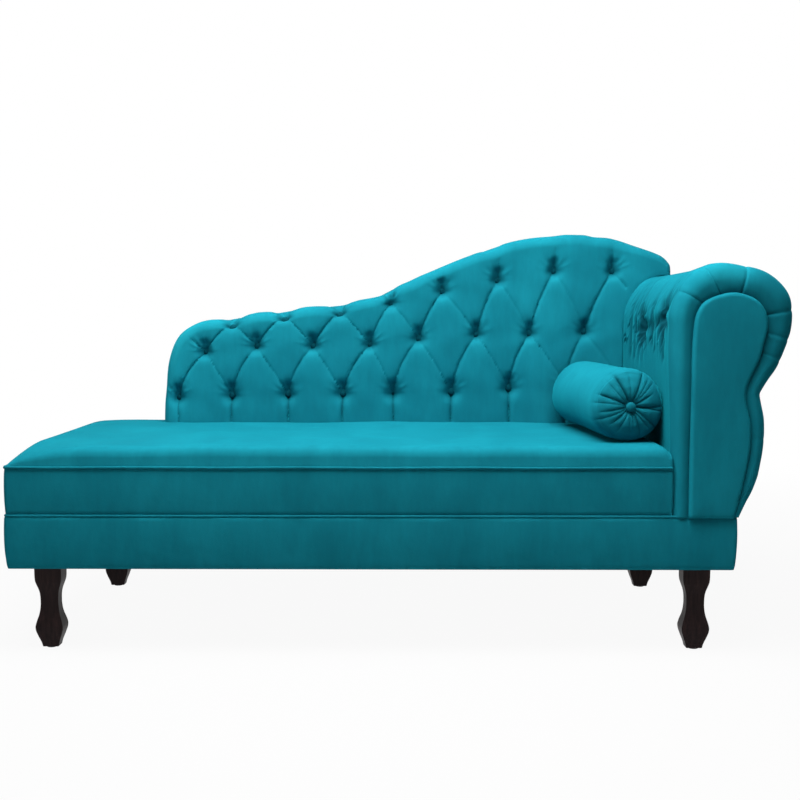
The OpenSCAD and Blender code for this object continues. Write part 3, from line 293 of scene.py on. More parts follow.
def plan_run(inset, front_end=None, rear_end=None):
    """Places round the base's rounded plan, seen from above, drawn in by inset, with their outward
    directions. It closes on itself, or runs from front_end round the open end to rear_end."""
    x0, x1, y0, y1, r = BASE_LEFT, BASE_RIGHT, BASE_FRONT, BASE_REAR, CORNER_R
    spots, outs = [], []

    def straight(a, b, out):
        count = max(2, int(np.hypot(b[0] - a[0], b[1] - a[1]) / 0.012))
        for t in np.linspace(0, 1, count, endpoint=False):
            spots.append((a[0] + (b[0] - a[0]) * t, a[1] + (b[1] - a[1]) * t)), outs.append(out)

    def corner(cx, cy, start):
        for t in np.linspace(0, 1, 7, endpoint=False):
            a = math.radians(start - 90 * t)
            spots.append((cx + r * math.cos(a), cy + r * math.sin(a))), outs.append((math.cos(a), math.sin(a)))

    straight((front_end if front_end else x1 - r, y0), (x0 + r, y0), (0, -1))
    corner(x0 + r, y0 + r, 270)
    straight((x0, y0 + r), (x0, y1 - r), (-1, 0))
    corner(x0 + r, y1 - r, 180)
    straight((x0 + r, y1), (rear_end if rear_end else x1 - r, y1), (0, 1))
    if rear_end is None:
        corner(x1 - r, y1 - r, 90)
        straight((x1, y1 - r), (x1, y0 + r), (1, 0))
        corner(x1 - r, y0 + r, 0)
    else:
        spots.append((rear_end, y1)), outs.append((0, 1))
    spots, outs = np.array(spots), np.array(outs, float)
    return spots - inset * outs, outs


def turned_out(made):
    """Makes a closed mesh's faces point outwards."""
    shell = bmesh.new()
    shell.from_mesh(made.data)
    bmesh.ops.remove_doubles(shell, verts=shell.verts, dist=1e-6)
    bmesh.ops.recalc_face_normals(shell, faces=shell.faces)
    shell.to_mesh(made.data)
    shell.free()
    return made


# The band's section as (out, up), round from its turned-under foot up the face and down behind.
rise = np.linspace(0, 1, 15)
swell = 0.0022 * np.sin(np.pi * np.clip(rise * 1.02, 0, 1)) ** 0.8 - 0.0030 * (1 - rise) ** 2.0
rail_section = [(-0.022, BASE_LOW + 0.002), (-0.022, BASE_LOW - 0.0025), (swell[0] - 0.004, BASE_LOW - 0.003),
                (swell[0] - 0.0012, BASE_LOW - 0.0025)]
rail_section += [(out, BASE_LOW - 0.0015 + 0.1125 * t) for out, t in zip(swell[1:], rise[1:])]
rail_section += [(-0.001, 0.3095), (-0.0045, 0.3100), (-0.005, BASE_LOW + 0.002)]
spots, outs = plan_run(0)
points, m = [], len(rail_section)
for k, (spot, out) in enumerate(zip(spots, outs)):
    drift = 0.0004 * (math.sin(0.37 * k) + 0.6 * math.sin(0.83 * k + 1.3))
    for across, up in rail_section:
        points.append((*(spot + out * (across + (drift if across > 0 else 0))), up))
faces = [(k * m + j, k * m + (j + 1) % m, (k + 1) % len(spots) * m + (j + 1) % m, (k + 1) % len(spots) * m + j)
         for k in range(len(spots)) for j in range(m)]
rail_band = turned_out(plain_mesh("rail_band", points, faces))
rail_band.data.materials.append(velvet)
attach(rail_band, "couch")
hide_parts("rail_cover")

# Piping: cord in a bias strip of the same velvet, sewn into the seams at the top of the rail band and at
# the top edge of the boxing, where it stands a little proud.
# The cords carry a little painted shade all over.
PIPING_R, PIPING_INSET, PIPING_PAINTED_SHADE = 0.0032, 0.0027, 0.24


def mesh_rule(name, inputs, build):
    """A Geometry Nodes group with named number inputs, in which build lays velvet along or on a given
    mesh. It comes with its inputs' identifiers."""
    tree = bpy.data.node_groups.new(name, "GeometryNodeTree")
    tree.interface.new_socket("Geometry", in_out="INPUT", socket_type="NodeSocketGeometry")
    ids = [tree.interface.new_socket(label, in_out="INPUT", socket_type="NodeSocketFloat").identifier
           for label in inputs]
    tree.interface.new_socket("Geometry", in_out="OUTPUT", socket_type="NodeSocketGeometry")
    start, stop = tree.nodes.new("NodeGroupInput"), tree.nodes.new("NodeGroupOutput")
    laid = build(*(Wire(tree, start.outputs[k]) for k in range(len(inputs) + 1)))
    real = laid.node("GeometryNodeRealizeInstances", Geometry=laid)
    smooth = laid.node("GeometryNodeSetShadeSmooth", Geometry=real)
    tinted = laid.node("GeometryNodeSetMaterial", Geometry=smooth)
    tinted.socket.node.inputs["Material"].default_value = velvet
    tree.links.new(tinted.socket, stop.inputs[0])
    return tree, ids


def laid_out(name, points, edges, rule, values, hollow):
    """What a rule lays over some points and edges, as a mesh object of its own."""
    line = bpy.data.meshes.new(name + "_line")
    line.from_pydata([tuple(map(float, p)) for p in points], edges, [])
    carrier = bpy.data.objects.new(name + "_line", line)
    bpy.context.collection.objects.link(carrier)
    laid = carrier.modifiers.new("laid", "NODES")
    laid.node_group, ids = rule
    for spot, value in zip(ids, values):
        laid[spot] = value
    mesh = bpy.data.meshes.new_from_object(carrier.evaluated_get(bpy.context.evaluated_depsgraph_get()))
    mesh.name = name
    made = bpy.data.objects.new(name, mesh)
    bpy.context.collection.objects.link(made)
    bpy.data.objects.remove(carrier)
    return mark_painted_shade_and_light(made, hollow)


def cord_along(seam, radius, spacing):
    even = seam.node("GeometryNodeResampleCurve", {"mode": "LENGTH"}, Length=spacing,
                     Curve=seam.node("GeometryNodeMeshToCurve", _0=seam))
    ring = seam.node("GeometryNodeCurvePrimitiveCircle", {"mode": "RADIUS"}, Resolution=10, Radius=radius)
    return seam.node("GeometryNodeCurveToMesh", Curve=even, Profile_Curve=ring, Fill_Caps=True)


piping_rule = mesh_rule("piping_along_seam", ("Cord radius", "Ring spacing"), cord_along)
spots, _ = plan_run(PIPING_INSET)
low_cord = laid_out("piping_lower", [(x, y, SEAM_Z) for x, y in spots],
                    [(k, (k + 1) % len(spots)) for k in range(len(spots))], piping_rule, (PIPING_R, 0.009),
                    PIPING_PAINTED_SHADE)
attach(low_cord, "couch")
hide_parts("lower_piping")

# The seat: a foam block with a crowned top, under a velvet cover whose boxing band is drawn in a little
# between the two rows of piping. It is fixed to the base and fits round the back's open end.
SEAT_RIGHT, BACK_X, BACK_FACE_Y = 0.6067, -0.635, 0.2142
CROWN, FALL, DOME, INSET = 0.0465, 0.048, 0.05, 0.004


def eased(d):
    return np.sqrt(np.clip(1 - (1 - np.clip(d, 0, FALL) / FALL) ** 2.5, 0, 1))


def squarer(d):
    return (1 - (1 - np.clip(d, 0, 0.040) / 0.040) ** 3.2) ** (1 / 3.2)


def seat_height(x, y):
    """Height of the seat's crown above the upper piping. It falls away over the left corners, most at
    the front one, and dips a little next to the arm."""
    rear = np.where(x < BACK_X + 0.004, BASE_REAR - INSET - y, FALL)
    domed = np.sin(np.pi * np.clip((x - BASE_LEFT) / (SEAT_RIGHT - BASE_LEFT), 0, 1))
    beside, ahead = np.clip((x - BASE_LEFT) / 0.17, 0, 1), np.clip((y - BASE_FRONT) / 0.17, 0, 1)
    behind = np.clip((BASE_REAR - y) / 0.12, 0, 1)
    corners = 1 - 0.80 * ((1 - beside) * (1 - ahead)) ** 1.6 - 0.30 * ((1 - beside) * (1 - behind)) ** 2
    by_arm = 1 - 0.30 * np.exp(-((SEAT_RIGHT - x) / 0.011) ** 2)
    return (CROWN * corners * eased(x - BASE_LEFT - INSET) * squarer(y - BASE_FRONT - INSET) * eased(rear)
            * (1 - DOME + DOME * domed) * by_arm)


def graded(start, end, close, at_start=True):
    """Places from one end to the other: close together where the seat falls away, further on beyond."""
    spots, d = [0.0], close
    while spots[-1] < end - start:
        spots.append(spots[-1] + d)
        d = min(0.009, d * 1.16)
    one = np.array(spots) * (end - start) / spots[-1]
    return start + one if at_start else (end - one)[::-1]


# Top of the seat as a grid. Its rear right part, under the back, is left out.
xs = np.concatenate([graded(BASE_LEFT + INSET, BACK_X, 0.0012), graded(BACK_X, SEAT_RIGHT, 0.0025, False)[1:]])
ys = np.concatenate([graded(BASE_FRONT + INSET, BACK_FACE_Y, 0.0012),
                     graded(BACK_FACE_Y, BASE_REAR - INSET, 0.0012, False)[1:]])
gx, gy = np.meshgrid(xs, ys, indexing="ij")
gz = WELT_Z + seat_height(gx, gy)
# The cover is slack over the foam in a few places: faint dips along the front edge and by the arm.
slack = (0.0016 * np.sin(gx * 7.3 + 0.8) * np.sin(gy * 9.1 + 0.4) + 0.0009 * np.sin(gx * 17.9 + gy * 11.3))
gz = gz + slack * np.clip((gz - WELT_Z) / CROWN, 0, 1)
# The two left corners are drawn in to the plan's rounding.
for cy, way in ((BASE_FRONT + CORNER_R, -1), (BASE_REAR - CORNER_R, 1)):
    vx, vy = np.maximum(BASE_LEFT + CORNER_R - gx, 0), np.maximum((gy - cy) * way, 0)
    both = (vx > 0) & (vy > 0)
    k = np.where(both, np.maximum(vx, vy) / np.maximum(np.hypot(vx, vy), 1e-9), 1)
    gx, gy = np.where(both, BASE_LEFT + CORNER_R - vx * k, gx), np.where(both, cy + way * vy * k, gy)
nx, ny = gx.shape
first_rear, first_right = np.searchsorted(ys, BACK_FACE_Y + 1e-6), np.searchsorted(xs, BACK_X + 1e-6)
seat_points = np.stack([gx, gy, gz], -1).reshape(-1, 3)
seat_faces = [(i * ny + j, (i + 1) * ny + j, (i + 1) * ny + j + 1, i * ny + j + 1)
              for i in range(nx - 1) for j in range(ny - 1) if i < first_right - 1 or j < first_rear - 1]


def closed_down(name, points, faces, walls):
    """Closes a sheet into a cushion: its open edge is carried down through the walls' rows of
    (outward, height), and the last row is filled in."""
    shell = bmesh.new()
    verts = [shell.verts.new(p) for p in points]
    for f in faces:
        shell.faces.new([verts[k] for k in f])
    for v in [v for v in shell.verts if not v.link_faces]:
        shell.verts.remove(v)
    bmesh.ops.recalc_face_normals(shell, faces=shell.faces)
    if sum(f.normal.z for f in shell.faces) < 0:
        bmesh.ops.reverse_faces(shell, faces=shell.faces)
    edge = [e for e in shell.edges if e.is_boundary]
    level = {v: v for e in edge for v in e.verts}
    outs = {}
    for v in level:
        out = np.zeros(2)
        for e in v.link_edges:
            if e.is_boundary:
                mid, middle = (e.verts[0].co + e.verts[1].co) / 2, e.link_faces[0].calc_center_median()
                along = e.verts[1].co - e.verts[0].co
                square = np.array([along.y, -along.x]) / max(math.hypot(along.x, along.y), 1e-9)
                out += square if square @ np.array([mid.x - middle.x, mid.y - middle.y]) > 0 else -square
        outs[v] = out / max(np.linalg.norm(out), 1e-9)
    start = {v: v.co.copy() for v in level}
    for out, height in walls:
        lower = {v: shell.verts.new((start[v].x + outs[v][0] * out, start[v].y + outs[v][1] * out, height))
                 for v in start}
        for e in edge:
            a, b = e.verts
            shell.faces.new([level[a], level[b], lower[b], lower[a]])
        level = lower
    rim_edges = [shell.edges.get((level[e.verts[0]], level[e.verts[1]])) for e in edge]
    bmesh.ops.triangle_fill(shell, edges=rim_edges, use_beauty=True)
    bmesh.ops.recalc_face_normals(shell, faces=shell.faces)
    mesh = bpy.data.meshes.new(name)
    shell.to_mesh(mesh)
    shell.free()
    mesh.shade_smooth()
    made = bpy.data.objects.new(name, mesh)
    bpy.context.collection.objects.link(made)
    return made


boxing = [(0.0006, WELT_Z - 0.002)]
boxing += [(INSET - 0.0030 + 0.0022 * math.sin(math.pi * t) ** 0.7, WELT_Z - 0.004 - 0.1005 * t)
           for t in np.linspace(0, 1, 12)]
boxing += [(-0.008, SEAM_Z)]
seat = closed_down("seat_upholstery", seat_points, seat_faces, boxing)
seat.data.materials.append(velvet)
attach(seat, "couch")
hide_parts("seat_foam", "seat_top_cover", "seat_boxing")

spots, _ = plan_run(PIPING_INSET, SEAT_RIGHT, BACK_X - 0.0003)
high_cord = laid_out("piping_upper", [(x, y, WELT_Z + 0.0004 * math.sin(0.21 * k)) for k, (x, y) in enumerate(spots)],
                     [(k, k + 1) for k in range(len(spots) - 1)], piping_rule, (PIPING_R, 0.009), PIPING_PAINTED_SHADE)
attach(high_cord, "couch")
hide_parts("upper_piping")

# The back: a plywood panel padded in deep foam. The velvet is drawn into the foam by covered buttons in
# three rows, its slack folded into pleats from button to button and down to the seat, and the pad rolls
# over the crest and the open end to be stapled behind.
PILLOW_Y, WRAP_Y, DECK_Z, SEAT_Z = 0.2045, 0.3262, 0.316, 0.4665
ARM_IN, ROLL_X, ROLL_Z, ROLL_R = 0.607, 0.731, 0.739, 0.124
LOW_BUTTONS = [(-594, 531), (-448, 536), (-296, 539), (-147, 541), (-11, 543), (147, 545), (302, 556), (456, 562)]
MID_BUTTONS = [(-518, 654), (-379, 669), (-227, 670), (-73, 674), (58, 690), (214, 701), (357, 703), (504, 708)]
TOP_BUTTONS = [(-445, 733), (-304, 753), (-154, 763), (-17, 786), (122, 817), (270, 846), (421, 870), (577, 870)]
CREST = [(-635, 316), (-635, 400), (-634.5, 465), (-632, 520), (-627, 567), (-621, 620), (-609, 665), (-590, 698),
         (-574, 713), (-557, 724), (-541, 732), (-524, 738), (-500, 742), (-475, 743), (-459, 742), (-446, 742),
         (-430, 746), (-410, 753), (-393, 758), (-370, 762), (-344, 763), (-328, 761), (-312, 761), (-296, 764),
         (-279, 768.5), (-263, 773), (-240, 777), (-214, 778.5), (-195, 778.5), (-180, 777), (-165, 776.5),
         (-152, 779), (-133, 785), (-116, 790), (-100, 794.5), (-68, 801), (-45, 807), (-19, 819), (8, 834),
         (30, 843.5), (62, 859), (95, 872.5), (127, 886), (159, 899.5), (192, 912.5), (222, 923), (240, 926),
         (256, 931), (288, 945), (320, 953), (369, 960.5), (417, 964.5), (457, 969), (498, 968.5), (530, 962.5),
         (562, 960),
         (595, 952.5), (627, 942.5), (659, 931.5), (692, 918), (708, 910), (722, 898), (731, 884), (733.5, 861)]
EDGE_ROLL, PIT, PILLOW_SWELL, CREASE = 0.030, 0.020, 0.0026, 0.0033
BEHIND_BOLSTER = np.array((0.6067, 0.566))
LOW_ROW_Z = 0.56

low, mid, top = (np.array(row) / 1000 for row in (LOW_BUTTONS, MID_BUTTONS, TOP_BUTTONS))
buttons = np.concatenate([low, mid, top])


def path_through(rough):
    """The length of a smooth path through rough places, and a function for its places at lengths."""
    run = np.concatenate([[0], np.cumsum(np.hypot(*np.diff(rough, axis=0).T))])
    return run[-1], lambda at: np.stack([smooth_between(np.stack([run, rough[:, k]], 1), at) for k in (0, 1)], 1)


def blurred(rows, passes):
    """Rows averaged with their neighbours again and again, the first and last held."""
    for _ in range(passes):
        rows[1:-1] = (rows[:-2] + 2 * rows[1:-1] + rows[2:]) / 4
    return rows


def outward_of(line, passes):
    """Unit directions square to a line, out of what it goes round."""
    heading = blurred(np.gradient(line, axis=0), passes)
    heading /= np.linalg.norm(heading, axis=1)[:, None]
    return np.stack([-heading[:, 1], heading[:, 0]], 1)


# The outline of the pad seen from the front, evenly spaced, with its outward directions.
OUTLINE_STEPS = 1600
crest_run, crest_path = path_through(np.array(CREST) / 1000)
even = np.linspace(0, crest_run, OUTLINE_STEPS)
outline = crest_path(even)
outline_out = outward_of(outline, 40)
edge_roll = np.interp(even, [0, crest_run - 0.16, crest_run], [EDGE_ROLL, EDGE_ROLL, 0.013])
corner_left, corner_right = (np.argmin(np.hypot(*(outline - corner).T)) for corner in ((-0.594, 0.702), (0.720, 0.909)))


def on_outline(at):
    """Outline place, inset place, outward direction and roll at fractional places along the outline."""
    pick = lambda a: np.stack([np.interp(at, np.arange(OUTLINE_STEPS), a[:, k]) for k in (0, 1)], -1)
    out = pick(outline_out)
    out /= np.linalg.norm(out, axis=-1)[..., None]
    roll = np.interp(at, np.arange(OUTLINE_STEPS), edge_roll)
    spot = pick(outline)
    return spot, spot - roll[..., None] * out, out, roll


# Grid of the front: columns counted in half button spaces, rows from the deck up to the crest. Past the
# arm's inner face only the rows over the roll go on.
COLS_IN = np.concatenate([np.linspace(-0.55, 0, 8)[:-1], np.linspace(0, 16, 481)])
COLS_PAST = np.linspace(16, 17.9, 46)[1:]
ROW_STEPS = (5, 28, 54, 74)
n_in, n_cols = len(COLS_IN), len(COLS_IN) + len(COLS_PAST)
row_at = np.concatenate([[0]] + [k + np.arange(1, n + 1) / n for k, n in enumerate(ROW_STEPS)])
n_rows, row_mid = len(row_at), sum(ROW_STEPS[:3])

left_at = [np.interp(z, outline[:corner_left, 1], np.arange(corner_left)) for z in (DECK_Z, SEAT_Z, 0.531, 0.619)]
left_places = np.interp(row_at, range(5), left_at + [corner_left])
crest_rows = [(-0.55, corner_left)]
crest_rows += [(i, np.argmin(np.abs(outline[corner_left:corner_right, 0] - x / 1000)) + corner_left)
               for i, x in ((0, -566), (1, -506), (2, -440), (4, -300), (6, -152), (8, -14),
                            (10, 126), (12, 274), (14, 424), (16, 580), (17, 660))]
crest_rows.append((17.9, corner_right))
crest_places = smooth_between(crest_rows, np.concatenate([COLS_IN, COLS_PAST]))
right_places = np.linspace(OUTLINE_STEPS - 1, corner_right, n_rows - row_mid)


def button_row(left, found, right):
    """A level line of the grid, in metres, through rows of (column, x, z) in millimetres."""
    return np.stack([smooth_between([(p[0], p[k]) for p in left + found + right], COLS_IN) / 1000 for k in (1, 2)], 1)


low_line = button_row([(-0.55, -605, 531), (0, -594, 531)], [(2 * k, *b) for k, b in enumerate(LOW_BUTTONS) if k],
                      [(16, 606.7, 564)])
mid_line = button_row([(-0.55, -592, 619), (0, -578, 636)], [(2 * k + 1, *b) for k, b in enumerate(MID_BUTTONS)],
                      [(16, 606.7, 739)])
turn = np.radians(np.interp(COLS_PAST, [16, 16.3, 16.7, 17.2, 17.9], [180, 160, 139, 116, 89]))
past_line = np.stack([ROLL_X + (ROLL_R - 0.001) * np.cos(turn), ROLL_Z + (ROLL_R - 0.001) * np.sin(turn)], 1)
_, crest_in, _, _ = on_outline(crest_places)
levels_in = [np.stack([low_line[:, 0], np.full(n_in, z)], 1) for z in (DECK_Z, SEAT_Z)]
levels_in += [low_line, mid_line, crest_in[:n_in]]
front = np.zeros((n_cols, n_rows, 2))
for j, at in enumerate(row_at):
    k = min(int(at), 3)
    f = at - k
    front[:n_in, j] = levels_in[k] * (1 - f) + levels_in[k + 1] * f
    if j >= row_mid:
        front[n_in:, j] = past_line * (1 - (at - 3)) + crest_in[n_in:] * (at - 3)
# The first and last columns follow the outline, and the next columns go over to the grid's own places.
_, left_in, _, _ = on_outline(left_places)
shift = left_in - front[0]
front[:n_in] += shift[None] * np.clip(1 - (COLS_IN + 0.55) / 1.6, 0, 1)[:, None, None] ** 1.5
front[0] = left_in
_, right_in, _, _ = on_outline(right_places)
shift = right_in - front[-1, row_mid:]
front[n_in:, row_mid:] += shift[None] * np.clip((COLS_PAST - 16.6) / 1.3, 0, 1)[:, None, None] ** 1.5

# The pleats, as lines between places, each with its depth at both ends as a share of a full pleat. Those
# that climb to the right are folded over and bow upwards; those that fall to the right lie flatter.
pleats = []


def bowed(a, b, deep_a, deep_b, bow):
    """A pleat that bows to its upper left, in four straight steps."""
    way = b - a
    aside = np.array((-way[1], way[0])) * (1 if way[0] > 0 else -1)
    t = np.linspace(0, 1, 5)
    line = a + t[:, None] * way + (bow * 4 * t * (1 - t))[:, None] * aside
    deep = deep_a + (deep_b - deep_a) * t
    pleats.extend(zip(line[:-1], line[1:], deep[:-1], deep[1:]))


for k in range(8):
    vary = 1 + 0.22 * math.sin(2.3 * k + 1)
    bowed(mid[k], low[k], 1.0 * vary, 1.15 * vary, 0.075)
    bowed(mid[k], low[k + 1] if k < 7 else BEHIND_BOLSTER, 0.42 / vary, 0.35 * vary, 0.02)
    bowed(mid[k], top[k], 1.15 / vary, 1.0, 0.05)
    if k:
        bowed(mid[k], top[k - 1], 0.42, 0.42, 0.03)
for k, b in enumerate(low):
    pleats.append((b, (b[0] + 0.002 * (-1) ** k, 0.440), 3.0 if k else 1.6, 2.0 if k else 1.2))
for k, (b, lean, length) in enumerate(zip(top, (-16, -10, -6, -12, -14, 4, 2, 0), (60, 60, 62, 46, 60, 62, 66, 70))):
    pleats.append((b, b + np.array((lean, length)) / 1000, 1.2, 0.12 if k > 2 else 0.8))
pleats.append((top[7], (0.612, 0.828), 0.9, 0.8))
pleats.append((mid[0], (-0.580, 0.716), 0.45, 0.0))
pleats.append((low[0], (-0.628, 0.566), 0.4, 0.0))
pleats = [(np.array(a), np.array(b), start, stop) for a, b, start, stop in pleats]


def to_segment(x, z, a, b):
    """How far along the line from a to b its nearest point to a place lies, and how far from the place."""
    d = b - a
    t = np.clip(((x - a[0]) * d[0] + (z - a[1]) * d[1]) / max(d @ d, 1e-12), 0, 1)
    return t, np.hypot(x - a[0] - t * d[0], z - a[1] - t * d[1])


def to_pleats(x, z):
    """Distance to the nearest pleat, its depth there, which side of it the place lies on, and the
    nearest point on it."""
    best, depth, side, foot = np.full(x.shape, 9.0), np.zeros(x.shape), np.zeros(x.shape), np.stack([x, z], -1)
    for a, b, start, stop in pleats:
        d = b - a
        t, away = to_segment(x, z, a, b)
        across = ((z - a[1]) * d[0] - (x - a[0]) * d[1]) * (1 if d[0] > 0 else -1)
        closer = away < best
        best[closer], depth[closer] = away[closer], (start + (stop - start) * t)[closer]
        side[closer], foot[closer] = np.sign(across)[closer], (a + t[..., None] * d)[closer]
    return best, depth, side, foot


# How far each pillow swells between its pleats: a skin under even pressure, held down along the pleats.
CELL = 0.004
map_x, map_z = np.arange(-0.76, 0.84, CELL), np.arange(0.40, 1.08, CELL)
mx, mz = np.meshgrid(map_x, map_z, indexing="ij")
near, near_depth, _, _ = to_pleats(mx, mz)
from_crest = np.full(mx.shape, 9.0)
for x, z in outline[::8]:
    from_crest = np.minimum(from_crest, np.hypot(mx - x, mz - z))
above = mz > np.interp(mx, outline[corner_left - 20:corner_right, 0], outline[corner_left - 20:corner_right, 1])
outside = above | (mx < -0.63) | (mx > 0.735)
on_pleat = near < CELL * 0.75
held = (on_pleat & (near_depth > 0.2)) | (outside & (from_crest > 0.062)) | (mz < 0.437)
held |= (mx > ARM_IN) & (mz < ROLL_Z) | (np.hypot(mx - ROLL_X, mz - ROLL_Z) < ROLL_R)


def swollen(held):
    swell = np.zeros(mx.shape)
    for _ in range(900):
        swell[1:-1, 1:-1] = (swell[:-2, 1:-1] + swell[2:, 1:-1] + swell[1:-1, :-2] + swell[1:-1, 2:]) / 4 + 1
        swell[held] = 0
        swell[0], swell[-1], swell[:, 0], swell[:, -1] = swell[1], swell[-2], swell[:, 1], swell[:, -2]
    return np.tanh(2.6 * swell / np.percentile(swell[~held], 80))


# The pleats that fall to the right hold the cover down only in part.
full = 0.4 * swollen(held) + 0.6 * swollen(held & ~(on_pleat & (near_depth < 0.6)))


def sample(grid, x, z):
    """A value of the map at any place, in straight steps between its cells."""
    u = np.clip((x - map_x[0]) / CELL, 0, len(map_x) - 1.001)
    v = np.clip((z - map_z[0]) / CELL, 0, len(map_z) - 1.001)
    i, j = u.astype(int), v.astype(int)
    u, v = u - i, v - j
    return ((grid[i, j] * (1 - v) + grid[i, j + 1] * v) * (1 - u)
            + (grid[i + 1, j] * (1 - v) + grid[i + 1, j + 1] * v) * u)


def about_button(x, z, button, slack):
    """Distance to a button's pit, which the slack cover draws out upwards, how far it is drawn out here,
    and the direction and distance of a place from the button."""
    dx, dz = x - button[0], z - button[1]
    up = np.clip(dz, 0, slack)
    return np.hypot(dx, dz - up) / (1 - 12 * up), up, np.arctan2(dx, dz), np.hypot(dx, dz)


def pulled_in(x, z):
    """How far the cover lies behind the pillows' tops at a place of the pad."""
    away, depth, side, _ = to_pleats(x, z)
    inward = PILLOW_SWELL * (1 - sample(full, x, z))
    rim = np.interp(x, outline[corner_left:corner_right, 0], outline[corner_left:corner_right, 1]) - 0.020
    reach = np.where(z > rim, 0.0065, np.where(depth > 1.3, 0.0055, np.where(side > 0, 0.0019, 0.0036)))
    inward = inward + CREASE * depth * np.exp(-away / reach)
    for k, button in enumerate(buttons):
        from_pit, up, around, out = about_button(x, z, button, 0.020)
        wide = 0.0180 if button[1] < LOW_ROW_Z else 0.0155
        inward = inward + PIT * (1 - 22 * up) * np.exp(-(from_pit / wide) ** 2.0)
        inward = inward + 0.0036 * np.exp(-(from_pit / 0.034) ** 2)
        fan = np.exp(-((out - 0.032) / 0.015) ** 2) * np.clip(0.05 + 1.2 * np.cos(around), 0, 1)
        inward = inward + 0.0017 * fan * (np.abs(np.sin(5.5 * around + 1.9 * k + 0.9 * np.sin(2 * around + k))) - 0.4)
    return inward + 0.0012 * np.sin(x * 31 + 2.1 * np.sin(z * 23)) * np.sin(z * 27 + 1.3) * sample(full, x, z)


def painted_shade_at(x, z):
    """How much painted shade a place gets: most in the pits, less along the folds and in short radial wrinkles above
    the pits, and a little low down by the seat. Over the open left end it gets painted light instead.
    """
    away, depth, _, _ = to_pleats(x, z)
    # Painted shade low down by the seat, and painted light over the open left end.
    painted_light_shade = 0.05 * np.clip((0.60 - z) / 0.05, 0, 1) - 0.20 * np.clip((-0.42 - x) / 0.16, 0, 1)
    deep, wide = depth > 1.3, np.where(depth > 1.3, 0.0012 * depth, 0.0028)
    dark = np.where(deep, 0.30 + 0.08 * depth, 0.10 * depth) * np.exp(-(away / wide) ** 2)
    for bx, bz in buttons:
        from_pit, _, around, out = about_button(x, z, (bx, bz), 0.014)
        deepest = 0.26 if bz < LOW_ROW_Z else 0.14 + 0.34 * np.exp(-((z - bz) / 0.012) ** 2)
        dark = np.maximum(dark, deepest * np.exp(-(from_pit / 0.0180) ** 2.6))
        # Painted shade in short radial wrinkles above each pit.
        streak = np.clip(np.sin(6.5 * around + 40 * bx + 0.9 * np.sin(2 * around + 90 * bz)), 0, 1) ** 2
        streak = streak * np.exp(-((out - 0.027) / 0.012) ** 2) * np.clip(1.5 * np.cos(around) - 0.4, 0, 1)
        dark = np.maximum(dark, 0.30 * streak)
    return dark + painted_light_shade * (1 - dark)


# Places close to a pleat are drawn onto its line, so that the fold is crisp.
away, _, _, foot = to_pleats(front[..., 0], front[..., 1])
free = np.zeros((n_cols, n_rows), bool)
free[1:-1, 1:-1] = True
free[n_in - 1:, row_mid], free[n_in - 1] = False, False
snap = (away < 0.0019) & (front[..., 1] > 0.47) & free
spots = np.where(snap[..., None], foot, front)
front_3d = np.stack([spots[..., 0], PILLOW_Y + pulled_in(spots[..., 0], spots[..., 1]), spots[..., 1]], -1)

# The roll over the edge: up the open end, along the crest and down the right end, then straight back.
border = [(0, j, left_places[j]) for j in range(n_rows)]
border += [(c, n_rows - 1, crest_places[c]) for c in range(1, n_cols)]
border += [(n_cols - 1, row_mid + j, right_places[j]) for j in range(n_rows - row_mid - 2, -1, -1)]
spot, inset, out, roll = on_outline(np.array([b[2] for b in border]))
strips, dark = [], []
for a in np.linspace(0, math.pi / 2, 24)[1:]:
    flat = inset + out * (roll * a)[:, None]
    inward = pulled_in(flat[:, 0], flat[:, 1]) * (1 - 0.35 * math.sin(a))
    # Painted shade over the roll, stronger as it turns over the edge.
    dark += list(painted_shade_at(flat[:, 0], flat[:, 1]) * (1 + 0.8 * math.sin(a)))
    side = inset + out * (roll * math.sin(a) - inward * math.sin(a))[:, None]
    strips.append(np.stack([side[:, 0], PILLOW_Y + roll * (1 - math.cos(a)) + inward * math.cos(a), side[:, 1]], 1))
for t in np.linspace(0, 1, 16)[1:]:
    straight = t * (WRAP_Y - PILLOW_Y - roll)
    flat = inset + out * (roll * math.pi / 2 + straight)[:, None]
    inward = 0.65 * pulled_in(flat[:, 0], flat[:, 1])
    # Painted shade behind the roll, stronger still.
    dark += list(1.8 * painted_shade_at(flat[:, 0], flat[:, 1]))
    inward = np.minimum(inward, 0.040 - 0.034 * min(t / 0.28, 1)) * (1 - 0.5 * t) + 0.0015 * t
    side = spot - out * inward[:, None]
    strips.append(np.stack([side[:, 0], PILLOW_Y + roll + straight, side[:, 1]], 1))
# Behind the roll the cover lies over the plywood panel and the crest rail, never inside them.
CLEARANCE, FAR_FROM_BOARD = 0.0026, 0.015
boards = [BVHTree.FromObject(bpy.data.objects[part], bpy.context.evaluated_depsgraph_get())
          for part in ("back_panel", "back_crest_rail")]
for row in strips:
    for k in range(len(row)):
        for _ in range(30 if row[k, 1] > 0.2500 and row[k, 2] > 0.50 else 0):
            near = [board.find_nearest(Vector(row[k])) for board in boards]
            if all(away > FAR_FROM_BOARD or away > CLEARANCE and (Vector(row[k]) - foot).dot(normal) > 0
                   for foot, normal, _, away in near):
                break
            row[k] += 0.0005 * np.array((out[k, 0], 0, out[k, 1]))

